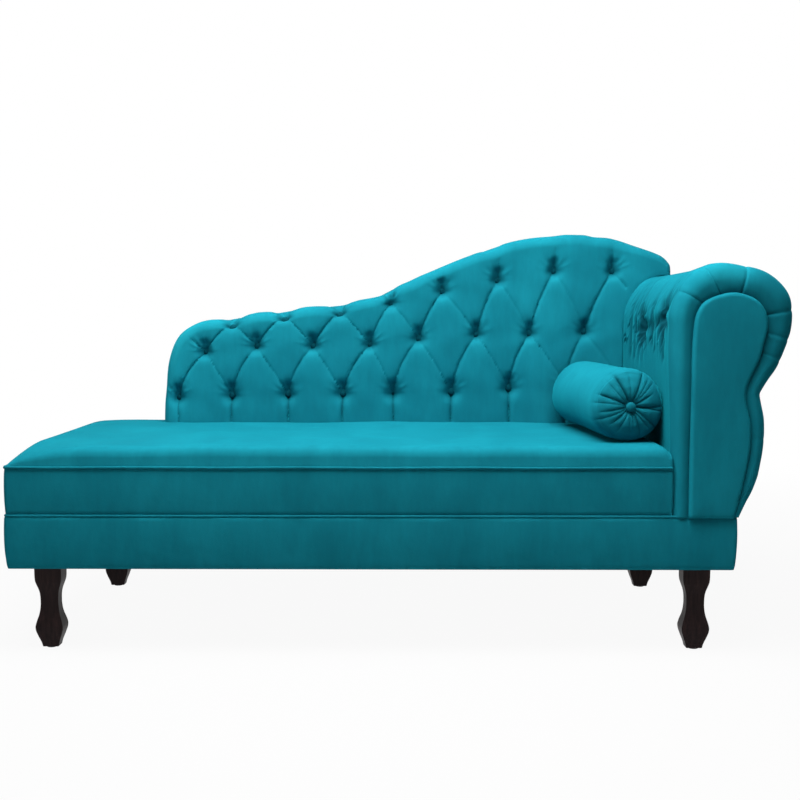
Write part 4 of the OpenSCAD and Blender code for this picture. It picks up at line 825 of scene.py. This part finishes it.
# The whole pad: front, roll, and plain faces that close it along the deck, the arm and the panel.
in_grid = [(c, j) for c in range(n_cols) for j in range(n_rows) if c < n_in or j >= row_mid]
index = {at: k for k, at in enumerate(in_grid)}
points = [front_3d[at] for at in in_grid]
faces = [(index[c, j], index[c + 1, j], index[c + 1, j + 1], index[c, j + 1])
         for c in range(n_cols - 1) for j in range(n_rows - 1) if c < n_in - 1 or j >= row_mid]
ring = [index[c, j] for c, j, _ in border]
chain_left, chain_right = [ring[0]], [ring[-1]]
for row in strips:
    nxt = list(range(len(points), len(points) + len(row)))
    points += list(row)
    faces += [(ring[k], ring[k + 1], nxt[k + 1], nxt[k]) for k in range(len(ring) - 1)]
    ring = nxt
    chain_left.append(ring[0]), chain_right.append(ring[-1])
open_run = [index[c, 0] for c in range(n_in)] + [index[n_in - 1, j] for j in range(1, row_mid + 1)]
open_run += [index[c, row_mid] for c in range(n_in, n_cols)]
rear_run = [chain_left[-1], *range(len(points), len(points) + len(open_run) - 2), chain_right[-1]]
points += [(points[k][0], WRAP_Y, points[k][2]) for k in open_run[1:-1]]
faces += [(open_run[k + 1], open_run[k], rear_run[k], rear_run[k + 1]) for k in range(1, len(open_run) - 2)]
faces.append(tuple(chain_left + [rear_run[1], open_run[1]]))
faces.append(tuple([open_run[-2], rear_run[-2]] + chain_right[::-1]))
faces.append(tuple(rear_run[:-1] + ring[::-1]))
# Painted shade for the front's points, ahead of the roll's.
front_painted_shade = painted_shade_at(spots[..., 0], spots[..., 1])
dark = [front_painted_shade[at] for at in in_grid] + dark
tufted = plain_mesh("back_tufting", points, faces)
tufted = turned_out(mark_painted_shade_and_light(tufted, np.array(dark + [0] * (len(points) - len(dark)))))
tufted.data.materials.append(velvet)
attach(tufted, "couch")
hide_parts("back_foam", "back_tufted_cover")


def from_loop(spots, ring):
    """Shortest distance from each place to a closed ring of places."""
    return np.min([to_segment(spots[:, 0], spots[:, 1], a, b)[1]
                   for a, b in zip(ring, np.roll(ring, -1, axis=0))], axis=0)


def within(spots, ring):
    """Whether each place lies inside a closed ring."""
    inside = np.zeros(len(spots), bool)
    for (ax, az), (bx, bz) in zip(ring, np.roll(ring, -1, axis=0)):
        crosses = (az > spots[:, 1]) != (bz > spots[:, 1])
        cut = ax + (spots[:, 1] - az) * (bx - ax) / (bz - az if bz != az else 1e-12)
        inside ^= crosses & (spots[:, 0] < cut)
    return inside


def padded_panel(name, loop, inner_y, outer_y, edge, crown, cell):
    """A flat panel with a rounded rim and a little crown, from its outline seen from the front."""
    way = 1 if outer_y > inner_y else -1
    (x0, z0), (x1, z1) = loop.min(0), loop.max(0)
    gx, gz = np.meshgrid(np.arange(x0, x1, cell), np.arange(z0, z1, cell), indexing="ij")
    gx[:, 1::2] += cell / 2
    filling = np.stack([gx.ravel(), gz.ravel()], 1)
    filling = filling[within(filling, loop)]
    filling = filling[from_loop(filling, loop) > cell * 0.4]
    flat = [Vector(p) for p in np.concatenate([loop, filling])]
    rim = len(loop)
    spots, _, tris, _, _, _ = delaunay_2d_cdt(flat, [(k, (k + 1) % rim) for k in range(rim)], [], 1, 1e-7)
    if len(spots) != len(flat):
        raise ValueError("the outline of " + name + " crosses itself")
    deep = from_loop(np.array(spots), loop)
    short = edge - np.sqrt(np.clip(edge ** 2 - np.clip(edge - deep, 0, edge) ** 2, 0, None))
    lift = crown * (np.tanh(deep / 0.030) - 1) - short
    points = [(x, outer_y + way * h, z) for (x, z), h in zip(spots, lift)]
    points += [(x, inner_y, z) for x, z in loop]
    base = len(spots)
    faces = [tuple(t) for t in tris] + [(k, (k + 1) % rim, base + (k + 1) % rim, base + k) for k in range(rim)]
    faces.append(tuple(range(base, base + rim)))
    return turned_out(plain_mesh(name, points, faces))


# The outside back: a plain sheet of velvet over wadding, turned under and stapled round its edge.
edge_run = np.array([(points[k][0], points[k][2]) for k in ring[::3] + rear_run[1:-1][::-1][::3]])
outside = padded_panel("back_outside", edge_run, WRAP_Y, 0.3315, 0.0035, 0.0015, 0.012)
outside.data.materials.append(velvet)
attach(outside, "couch")
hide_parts("back_outer_cover")

# Covered buttons: domed shells in the same velvet, drawn down to the bottom of the pits by twine that
# runs through foam and panel.
# The buttons carry strong painted shade, as they sit at the bottom of the pits.
BUTTON_R, BUTTON_DEEP, BUTTON_PAINTED_SHADE = 0.0105, 0.0065, 0.75


def domes_on(spots, radius, depth):
    ball = spots.node("GeometryNodeMeshUVSphere", Segments=28, Rings=16, Radius=1.0)
    size = spots.node("ShaderNodeCombineXYZ", X=radius, Y=depth, Z=radius)
    domed = spots.node("GeometryNodeTransform", Geometry=ball, Scale=size)
    return spots.node("GeometryNodeInstanceOnPoints", Points=spots, Instance=domed)


button_rule = mesh_rule("buttons_in_rows", ("Button radius", "Dome depth"), domes_on)
at_pits = []
for x, z in buttons:
    near = np.argmin(np.hypot(outline[:, 0] - x, outline[:, 1] - z))
    edge, way, roll = outline[near], outline_out[near], edge_roll[near]
    over = max(roll - (edge - (x, z)) @ way, 0)
    lean = min(over / roll, 1.2)
    sink = pulled_in(np.array([x]), np.array([z]))[0] * (1 - 0.35 * math.sin(lean))
    flat = edge + way * ((roll - sink) * math.sin(lean) - roll) if over else (x, z)
    at_pits.append((flat[0], PILLOW_Y + roll * (1 - math.cos(lean)) + sink * math.cos(lean) - 0.002, flat[1] + 0.002))
tufts = laid_out("back_buttons", at_pits, [], button_rule, (BUTTON_R, BUTTON_DEEP), BUTTON_PAINTED_SHADE)
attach(tufts, "couch")
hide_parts("tuft_buttons")

# The twine from each button through the foam to its washer behind the panel.
TWINE_R, WASHER_Y, TWINE_SIDES = 0.0009, 0.2783, 8
points, faces = [], []
for x, y, z in at_pits:
    base = len(points)
    points += [(x + TWINE_R * math.cos(math.tau * k / TWINE_SIDES), depth,
                z + TWINE_R * math.sin(math.tau * k / TWINE_SIDES))
               for depth in (y + 0.003, WASHER_Y) for k in range(TWINE_SIDES)]
    faces += [tuple(base + k for k in face) for face in tube_faces(2, TWINE_SIDES)]
twines = turned_out(plain_mesh("tuft_twines", points, faces))
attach(twines, "couch")
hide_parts("button_twine")

# The arm: boards joined by rails and padded all round, its roll over the top and its swept outer side
# drawn forward over the front board as a fat padded band, pleated where it turns the tight curve. The
# inner face is pulled in at two tufts and gathered about them.
ARM_FRONT, ARM_REAR, ARM_FOOT, REAR_ROUND = -0.3275, 0.3285, 0.3095, 0.006
BAND_PROUD, BAND_SWELL, BAND_TURN, DEEPEST_TUFT = 0.030, 0.008, math.radians(126), 0.0195
OUTER_SWEEP = [(842, 681), (826.5, 643), (805.4, 612), (793, 591), (788, 582), (790.5, 570), (794, 554), (800.4, 525),
               (802, 491), (800, 459), (795, 427), (789, 396.4), (780, 366), (768, 340), (754, 309.5)]

# The arm's section, from the deck up its inner side, over the roll and down the swept outer side.
arc = [(ROLL_X + ROLL_R * math.cos(math.radians(a)), ROLL_Z + ROLL_R * math.sin(math.radians(a)))
       for a in range(180, -16, -3)]
side_in = [(ARM_IN, z) for z in np.arange(ARM_FOOT, ROLL_Z - 0.005, 0.01)]
arm_run, arm_path = path_through(np.array(side_in + arc + [(x / 1000, z / 1000) for x, z in OUTER_SWEEP]))
arm_at = np.interp(np.linspace(0, 1, 520), [0, 0.10, 0.60, 0.72, 1], [0, 0.24, 0.58, 0.74, arm_run])
arm_line = blurred(arm_path(arm_at), 6)
arm_outward = outward_of(arm_line, 6)
place_of = lambda x, z: arm_at[np.argmin(np.hypot(arm_line[:, 0] - x, arm_line[:, 1] - z))]
top_at = place_of(0.731, 0.863)
band_wide = smooth_between(
    [(0, 0.038), (place_of(0.607, 0.66), 0.038), (place_of(0.619, 0.79), 0.047), (top_at - 0.05, 0.0635),
     (top_at + 0.03, 0.0660), (place_of(0.84, 0.795), 0.0585), (place_of(0.842, 0.681), 0.051),
     (place_of(0.788, 0.582), 0.035), (place_of(0.802, 0.49), 0.0315), (place_of(0.789, 0.396), 0.030),
     (arm_run, 0.016)], arm_at)

# Columns of the cover: round the rear edge, forward along the arm, then round the band to its tuck
# behind the facing. Each has its depth in y and how far it has turned towards the front.
band_turns = np.linspace(0, BAND_TURN, 24)
rear_turns = np.array([0, *np.linspace(0.2, 1.4, 5)])
along_y = np.linspace(ARM_REAR - REAR_ROUND, ARM_FRONT + BAND_PROUD, 220)[:-1]
depth_y = np.concatenate([ARM_REAR - REAR_ROUND * (1 - np.cos(rear_turns)), along_y,
                          ARM_FRONT + BAND_PROUD * (1 - np.sin(band_turns))])
facing_turn = np.concatenate([rear_turns - math.pi / 2, 0 * along_y, band_turns])
inset_share = (1 - np.cos(band_turns)) / (1 - math.cos(BAND_TURN))
offset = np.concatenate([np.tile([*(REAR_ROUND * (1 - np.sin(rear_turns))), *(0 * along_y)], (len(arm_at), 1)),
                         band_wide[:, None] * inset_share], 1)
s_grid, y_grid = arm_at[:, None], np.tile(depth_y, (len(arm_at), 1))
along_z = s_grid + ARM_FOOT + 0 * y_grid
behind_band = y_grid - ARM_FRONT - BAND_PROUD
on_band, on_front = np.clip(facing_turn, 0, 1), np.clip(np.cos(facing_turn), 0, 1)


def past(x, z, length):
    """Rises from 0 to 1 over a length of the section beyond a place, or before it if length is negative."""
    return np.clip((s_grid - place_of(x, z)) / length, 0, 1)


# How far the cover stands out from the section: first the tufts, as y, height and depth.
give = np.zeros(y_grid.shape)
on_inner = past(0.690, 0.857, -0.14) * np.clip((s_grid - 0.05) / 0.1, 0, 1)
for k, (ty, tz, deep) in enumerate([(-0.219, 0.746, 0.019), (0.002, 0.716, 0.015)]):
    dy, dz = y_grid - ty, along_z - tz
    spread = np.sqrt((dy / 0.020) ** 2 + (dz / np.where(dz > 0, 0.028, 0.018)) ** 2)
    give -= deep * np.exp(-0.5 * spread ** 1.8)
    around, out = np.arctan2(dy, dz), np.hypot(dy, dz)
    fan = np.exp(-((out - 0.045) / 0.030) ** 2)
    give -= 0.0022 * fan * np.sin(9 * around + 1.3 * k + 1.1 * np.sin(2 * around + 0.7)) * on_inner
# Slack velvet, crushed into short slanting folds about the tufts.
rng = np.random.default_rng(11)
for _ in range(120):
    cy, cz, lean = rng.uniform(-0.25, 0.20), rng.uniform(0.67, 0.86), rng.uniform(-1.0, 0.15)
    half, wide, deep = rng.uniform(0.008, 0.026), rng.uniform(0.0028, 0.0070), rng.uniform(-0.0046, 0.0038)
    v = (along_z - cz) + lean * (y_grid - cy)
    u = (y_grid - cy) - lean * (along_z - cz) + 0.006 * np.sin(v / half)
    give += deep * np.exp(-np.where(u > 0, (u / wide) ** 2, np.abs(u / wide / 0.45)) - (v / half) ** 2) * on_inner
# Long soft folds that hang from the roll down through the tufts: both ends as (y, height), width, depth.
for top_end, low_end, wide, deep in (
        ((0.044, 0.860), (0.000, 0.680), 0.010, 0.0050), ((-0.285, 0.800), (-0.219, 0.746), 0.010, 0.0045),
        ((-0.219, 0.746), (-0.228, 0.660), 0.012, 0.0040), ((-0.219, 0.746), (0.002, 0.716), 0.016, 0.0035),
        ((-0.100, 0.850), (-0.110, 0.690), 0.014, 0.0030), ((0.110, 0.840), (0.120, 0.660), 0.016, 0.0030),
        ((0.060, 0.800), (0.075, 0.650), 0.010, 0.0026)):
    _, away = to_segment(y_grid, along_z, np.array(top_end), np.array(low_end))
    give -= deep * np.exp(-(away / wide) ** 2) * on_inner
# Where the band stands fuller or flatter than the plain roll: place, amount, reach.
for x, z, lift, reach, where in ((0.662, 0.842, 0.0030, 0.030, 1), (0.752, 0.861, -0.0095, 0.050, on_front),
                                 (0.842, 0.790, 0.0045, 0.035, on_front)):
    give += lift * np.exp(-((s_grid - place_of(x, z)) / reach) ** 2) * where
# Painted shade on the inner face, deeper in its folds and tufts, with painted highlights on the folds' crests; painted
# light on the band's top, and painted shade on its right and in its tuck.
tucked = np.clip(facing_turn - math.radians(70), 0, 1)
band_top = past(0.645, 0.828, 0.06) * past(0.786, 0.852, -0.03) * np.clip(1 - behind_band / 0.05, 0, 1)
arm_painted_shade_light = (0.33 + np.clip(-give / 0.0075, -0.9, 0.55)) * on_inner * (1 - on_band)
arm_painted_shade_light = arm_painted_shade_light - 0.22 * band_top * (1 - tucked) + 0.35 * tucked
arm_painted_shade_light = arm_painted_shade_light + 0.20 * past(0.775, 0.857, 0.04) * past(0.80, 0.60, -0.05) * (facing_turn > 0)
swell_at = np.clip(1 - behind_band / 0.16, 0, 1) ** 1.5 * on_front
give += BAND_SWELL * swell_at * np.clip((s_grid - 0.10) / 0.25, 0.25, 1) * np.clip((arm_run - s_grid) / 0.10, 0.4, 1)
give += 0.0014 * np.sin(11 * y_grid + 1.0) * np.sin(9 * s_grid + 0.4) * (facing_turn == 0)
# Pleats across the band: place, width, depth and how far back they run.
for x, z, wide, deep, back in ((0.620, 0.803, 0.004, 0.0030, 0.03), (0.672, 0.850, 0.004, 0.0050, 0.05),
                               (0.762, 0.859, 0.004, 0.0040, 0.04), (0.852, 0.763, 0.0045, 0.0038, 0.05),
                               (0.845, 0.700, 0.004, 0.0026, 0.02), (0.832, 0.655, 0.004, 0.0024, 0.02),
                               (0.800, 0.480, 0.004, 0.0012, 0.01)):
    fade = np.where(facing_turn > 0, 0.45 + 0.55 * np.clip(facing_turn / 2.0, 0, 1),
                    0.45 * np.clip(1 - behind_band / back, 0, 1))
    off = s_grid - place_of(x, z)
    give -= deep * fade * np.exp(-np.abs(off) / np.where(off > 0, wide * 0.7, wide * 1.6))
give = np.where(on_inner > 0, np.maximum(give, -DEEPEST_TUFT), give)
give += 0.0010 * np.sin(26 * s_grid + 1) * on_band

plan = arm_line[:, None, :] - offset[..., None] * arm_outward[:, None, :]
plan = plan + (give * np.cos(facing_turn))[..., None] * arm_outward[:, None, :]
arm_grid = np.stack([plan[..., 0], y_grid - give * np.sin(facing_turn), np.maximum(plan[..., 1], ARM_FOOT)], -1)
n_s, n_y = y_grid.shape
faces = [(i * n_y + j, i * n_y + j + 1, (i + 1) * n_y + j + 1, (i + 1) * n_y + j)
         for i in range(n_s - 1) for j in range(n_y - 1)]
faces.append(tuple(range(n_y)) + tuple(range(n_s * n_y - 1, (n_s - 1) * n_y - 1, -1)))
faces.append(tuple(i * n_y for i in range(n_s)))
faces.append(tuple(i * n_y + n_y - 1 for i in range(n_s)))
cover = turned_out(mark_painted_shade_and_light(plain_mesh("arm_upholstery", arm_grid.reshape(-1, 3), faces), arm_painted_shade_light.ravel()))
cover.data.materials.append(velvet)
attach(cover, "couch")
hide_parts("arm_foam", "arm_cover", "arm_rear_cover")

# The facing: a board cut to a keyhole, thinly padded, covered and pinned over the tucked band.
FACE_BACK, FACE_FRONT, FACE_EDGE, FACE_OVERLAP = -0.3100, -0.3365, 0.0075, 0.0030
keyhole = blurred(arm_line - (band_wide - FACE_OVERLAP)[:, None] * arm_outward, 12)
keyhole[:, 1] = np.maximum(keyhole[:, 1], ARM_FOOT)
keyhole = keyhole[::2]
foot_line = np.linspace(keyhole[-1, 0], keyhole[0, 0], 30)[1:-1]
loop = np.concatenate([keyhole, np.stack([foot_line, np.full(len(foot_line), ARM_FOOT)], 1)])
facing = padded_panel("arm_facing_pad", loop, FACE_BACK, FACE_FRONT, FACE_EDGE, 0.0022, 0.0030)
facing.data.materials.append(velvet)
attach(facing, "couch")
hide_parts("arm_facing_cover")

# The bolster: a loose round cushion of soft foam. Its cover is drawn together over each end in gathers,
# under a covered button that pulls the middle in.
BOLSTER_AT, BOLSTER_TURN = (0.5090, -0.0330, 0.5475), math.radians(5)
BOLSTER_R, BOLSTER_HALF, GATHERS, AROUND = 0.0830, 0.226, 21, 420

# Share of the radius against how far the end lies in, from the middle to the rim.
end_profile = [(0.0, 0.0085), (0.10, 0.0100), (0.16, 0.0055), (0.24, 0.0015), (0.36, 0.0), (0.52, 0.0012),
               (0.68, 0.0058), (0.80, 0.0095), (0.89, 0.0145), (0.95, 0.0205), (0.985, 0.029), (0.997, 0.038)]
radii = np.concatenate([np.linspace(0.02, 0.3, 12), np.linspace(0.3, 0.9, 28)[1:], np.linspace(0.9, 1.0, 16)[1:]])
cap_in = smooth_between(end_profile, radii)
cap_in[-1] = 0.044
cap = [(r * BOLSTER_R, -BOLSTER_HALF + d, r) for r, d in zip(radii, cap_in)]
body = [(BOLSTER_R, y, 1.5) for y in np.linspace(-BOLSTER_HALF + 0.050, BOLSTER_HALF - 0.050, 50)]
rows = cap + body + [(r, -y, share) for r, y, share in cap[::-1]]
angle = np.linspace(0, 2 * math.pi, AROUND, endpoint=False)
rng = np.random.default_rng(7)
fold_at = np.sort((np.arange(GATHERS) + rng.uniform(-0.48, 0.48, GATHERS)) * 2 * math.pi / GATHERS)
fold_deep = rng.uniform(0.35, 1.65, GATHERS)
fold_reach = rng.uniform(0.70, 1.22, GATHERS)
fold_bend = rng.uniform(-0.16, 0.16, GATHERS)


def gathers(share, lean):
    """How far the cap is creased at each angle, for one share of its radius."""
    depth = np.zeros(AROUND)
    for at, deep, reach, bend in zip(fold_at + lean, fold_deep, fold_reach, fold_bend):
        off = (angle - at - bend * share + math.pi) % (2 * math.pi) - math.pi
        width = 0.0030 / max(share * BOLSTER_R, 0.010)
        fade = np.clip((reach - share) / 0.30, 0, 1) * np.clip((share - 0.10) / 0.10, 0, 1)
        depth += deep * fade * np.exp(-np.abs(off) / width)
    return depth


points, painted_light_shade = [], []
for r, y, share in rows:
    end = -1 if y < 0 else 1
    crease = gathers(share, 0.0 if y < 0 else 0.4) if share <= 1 else np.zeros(AROUND)
    if share > 0.9:
        r = r + 0.0016 * np.sin(3 * angle + 9 * y) * np.sin(8 * y + 0.6) + 0.0012 * np.sin(2 * angle + 1)
    flat = r - 0.0016 * crease * (share > 0.75)
    sag = 0.0025 * np.clip(-np.cos(angle), 0, 1) * (1 if share > 0.9 else share)
    points += list(np.stack([flat * np.sin(angle), y - end * 0.0046 * crease, flat * np.cos(angle) + sag], 1))
    # Painted light on the round body, painted shade over the ends and deeper in their gathers.
    painted_light_shade += list(np.clip(-0.07 + 0.08 * min(max((1.02 - share) / 0.08, 0), 1) + 0.28 * crease, -0.3, 0.6))
faces = tube_faces(len(rows), AROUND)[:-2]
for ring in (0, (len(rows) - 1) * AROUND):
    middle = len(points)
    points.append((0, np.mean([p[1] for p in points[ring:ring + AROUND]]), 0))
    faces += [(middle, ring + k, ring + (k + 1) % AROUND) for k in range(AROUND)]
turned = Matrix.Translation(BOLSTER_AT) @ Matrix.Rotation(BOLSTER_TURN, 4, "Z")
points = [tuple(turned @ Vector(p)) for p in points]
# The points at the middles of the ends get a little painted shade.
bolster = turned_out(mark_painted_shade_and_light(plain_mesh("bolster_cushion", points, faces), np.array(painted_light_shade + [0.1, 0.1])))
bolster.data.materials.append(velvet)
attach(bolster, "bolster")
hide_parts("bolster_core", "bolster_cover")

ends = [turned @ Vector((0, way * (BOLSTER_HALF - 0.0035), 0)) for way in (-1, 1)]
# The end buttons carry a little painted shade.
end_buttons = laid_out("bolster_buttons", ends, [], button_rule, (0.0108, 0.0056), 0.22)
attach(end_buttons, "bolster")
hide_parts("bolster_button_front", "bolster_button_rear")

# What upholstery hides: pine rails and posts, plywood boards, card, webbing, felt, a black cloth
# underneath, and zinc-plated fixings. Each slot of the part gets its own material.


def pine_finish():
    finish = bpy.data.materials.new("pine_bare")
    w, end = fresh(finish)
    place = w.node("ShaderNodeTexCoord", out=3)
    drift = place.noise(2.4, Detail=3.0)
    across = w.node("ShaderNodeMapping", Vector=place, Scale=(1.0, 7.0, 7.0))
    rings = w.node("ShaderNodeTexWave", {"wave_type": "BANDS", "bands_direction": "DIAGONAL"}, Vector=across,
                   Scale=4.0, Distortion=5.0, Detail=2.0)
    fibre = place.noise(9.0, (4.0, 90.0, 90.0))
    knots = w.node("ShaderNodeTexVoronoi", Vector=place, Scale=5.0)
    spot = w.node("ShaderNodeMapRange", Value=knots, From_Min=0.02, From_Max=0.07, To_Min=1.0, To_Max=0.0)
    tint = (0.6 * rings + 0.3 * fibre + 0.3 * (drift - 0.5)).between((0.80, 0.63, 0.40), (0.58, 0.39, 0.19))
    tint = spot.between(tint, (0.20, 0.10, 0.045))
    principled(w, end, {"Specular IOR Level": 0.25},
               {"Base Color": tint, "Roughness": 0.62 + 0.15 * fibre,
                "Normal": w.node("ShaderNodeBump", Strength=0.3, Distance=0.0004, Height=fibre)})
    return finish


def sheet_finish(name, dark, pale, scale, stretch, rough, depth, metal=0.0):
    """Boards, cloths and plating whose colour wanders between two tones on a stretched noise."""
    finish = bpy.data.materials.new(name)
    w, end = fresh(finish)
    place = w.node("ShaderNodeMapping", Vector=w.node("ShaderNodeTexCoord", out=3), Scale=stretch)
    coarse, fine = place.noise(scale, Detail=5.0, Roughness=0.6), place.noise(scale * 14, Detail=2.0)
    principled(w, end, {"Metallic": metal},
               {"Base Color": (1.3 * (coarse - 0.5) + 0.6 * (fine - 0.5) + 0.5).between(dark, pale),
                "Roughness": rough + 0.14 * (fine - 0.5),
                "Normal": w.node("ShaderNodeBump", Strength=0.4, Distance=depth, Height=fine)})
    return finish


def weave_finish(name, dark, pale, threads, rough):
    """Woven tape or cloth: threads over and under each other."""
    finish = bpy.data.materials.new(name)
    w, end = fresh(finish)
    place = w.node("ShaderNodeTexCoord", out=3)
    over = w.node("ShaderNodeTexWave", {"bands_direction": "X"}, 1, Vector=place, Scale=threads)
    under = w.node("ShaderNodeTexWave", {"bands_direction": "Y"}, 1, Vector=place, Scale=threads)
    worn = place.noise(18.0, Detail=4.0)
    weave = over * under
    principled(w, end, {"Specular IOR Level": 0.15},
               {"Base Color": (0.7 * weave + 0.6 * (worn - 0.5)).between(dark, pale),
                "Roughness": rough + 0.1 * worn,
                "Normal": w.node("ShaderNodeBump", Strength=0.5, Distance=0.0005, Height=weave)})
    return finish


PLAIN = (1.0, 1.0, 1.0)
finishes = {
    "pine": pine_finish(),
    "plywood": sheet_finish("plywood_sanded", (0.46, 0.31, 0.17), (0.68, 0.52, 0.33), 5.0, (1.0, 6.0, 0.6), 0.68,
                            0.0003),
    "card": sheet_finish("card_grey", (0.36, 0.30, 0.23), (0.50, 0.43, 0.34), 14.0, PLAIN, 0.85, 0.0003),
    "felt": sheet_finish("felt_needled", (0.24, 0.24, 0.25), (0.48, 0.47, 0.46), 26.0, PLAIN, 0.95, 0.0010),
    "foam": sheet_finish("foam_open_cell", (0.72, 0.66, 0.48), (0.90, 0.86, 0.72), 40.0, PLAIN, 0.95, 0.0008),
    "dust_cloth": weave_finish("dust_cloth_black", (0.010, 0.010, 0.011), (0.040, 0.040, 0.043), 260.0, 0.86),
    "webbing": weave_finish("webbing_elastic", (0.035, 0.035, 0.040), (0.150, 0.150, 0.160), 190.0, 0.80),
    "twine": sheet_finish("twine_waxed", (0.60, 0.55, 0.42), (0.82, 0.78, 0.66), 90.0, (1.0, 4.0, 1.0), 0.70, 0.0002),
    "zinc_steel": sheet_finish("zinc_plated", (0.50, 0.50, 0.53), (0.72, 0.72, 0.74), 30.0, PLAIN, 0.38, 0.0001, 1.0),
    "glide_plastic": sheet_finish("glide_black", (0.030, 0.030, 0.031), (0.060, 0.060, 0.061), 50.0, PLAIN, 0.50,
                                  0.0002),
}
for part in frame["record"]["subparts"]:
    held, finish = bpy.data.objects[part["node"]].data.materials, finishes.get(part["material_slot"])
    if finish:
        held.clear()
        held.append(finish)
twines.data.materials.append(finishes["twine"])
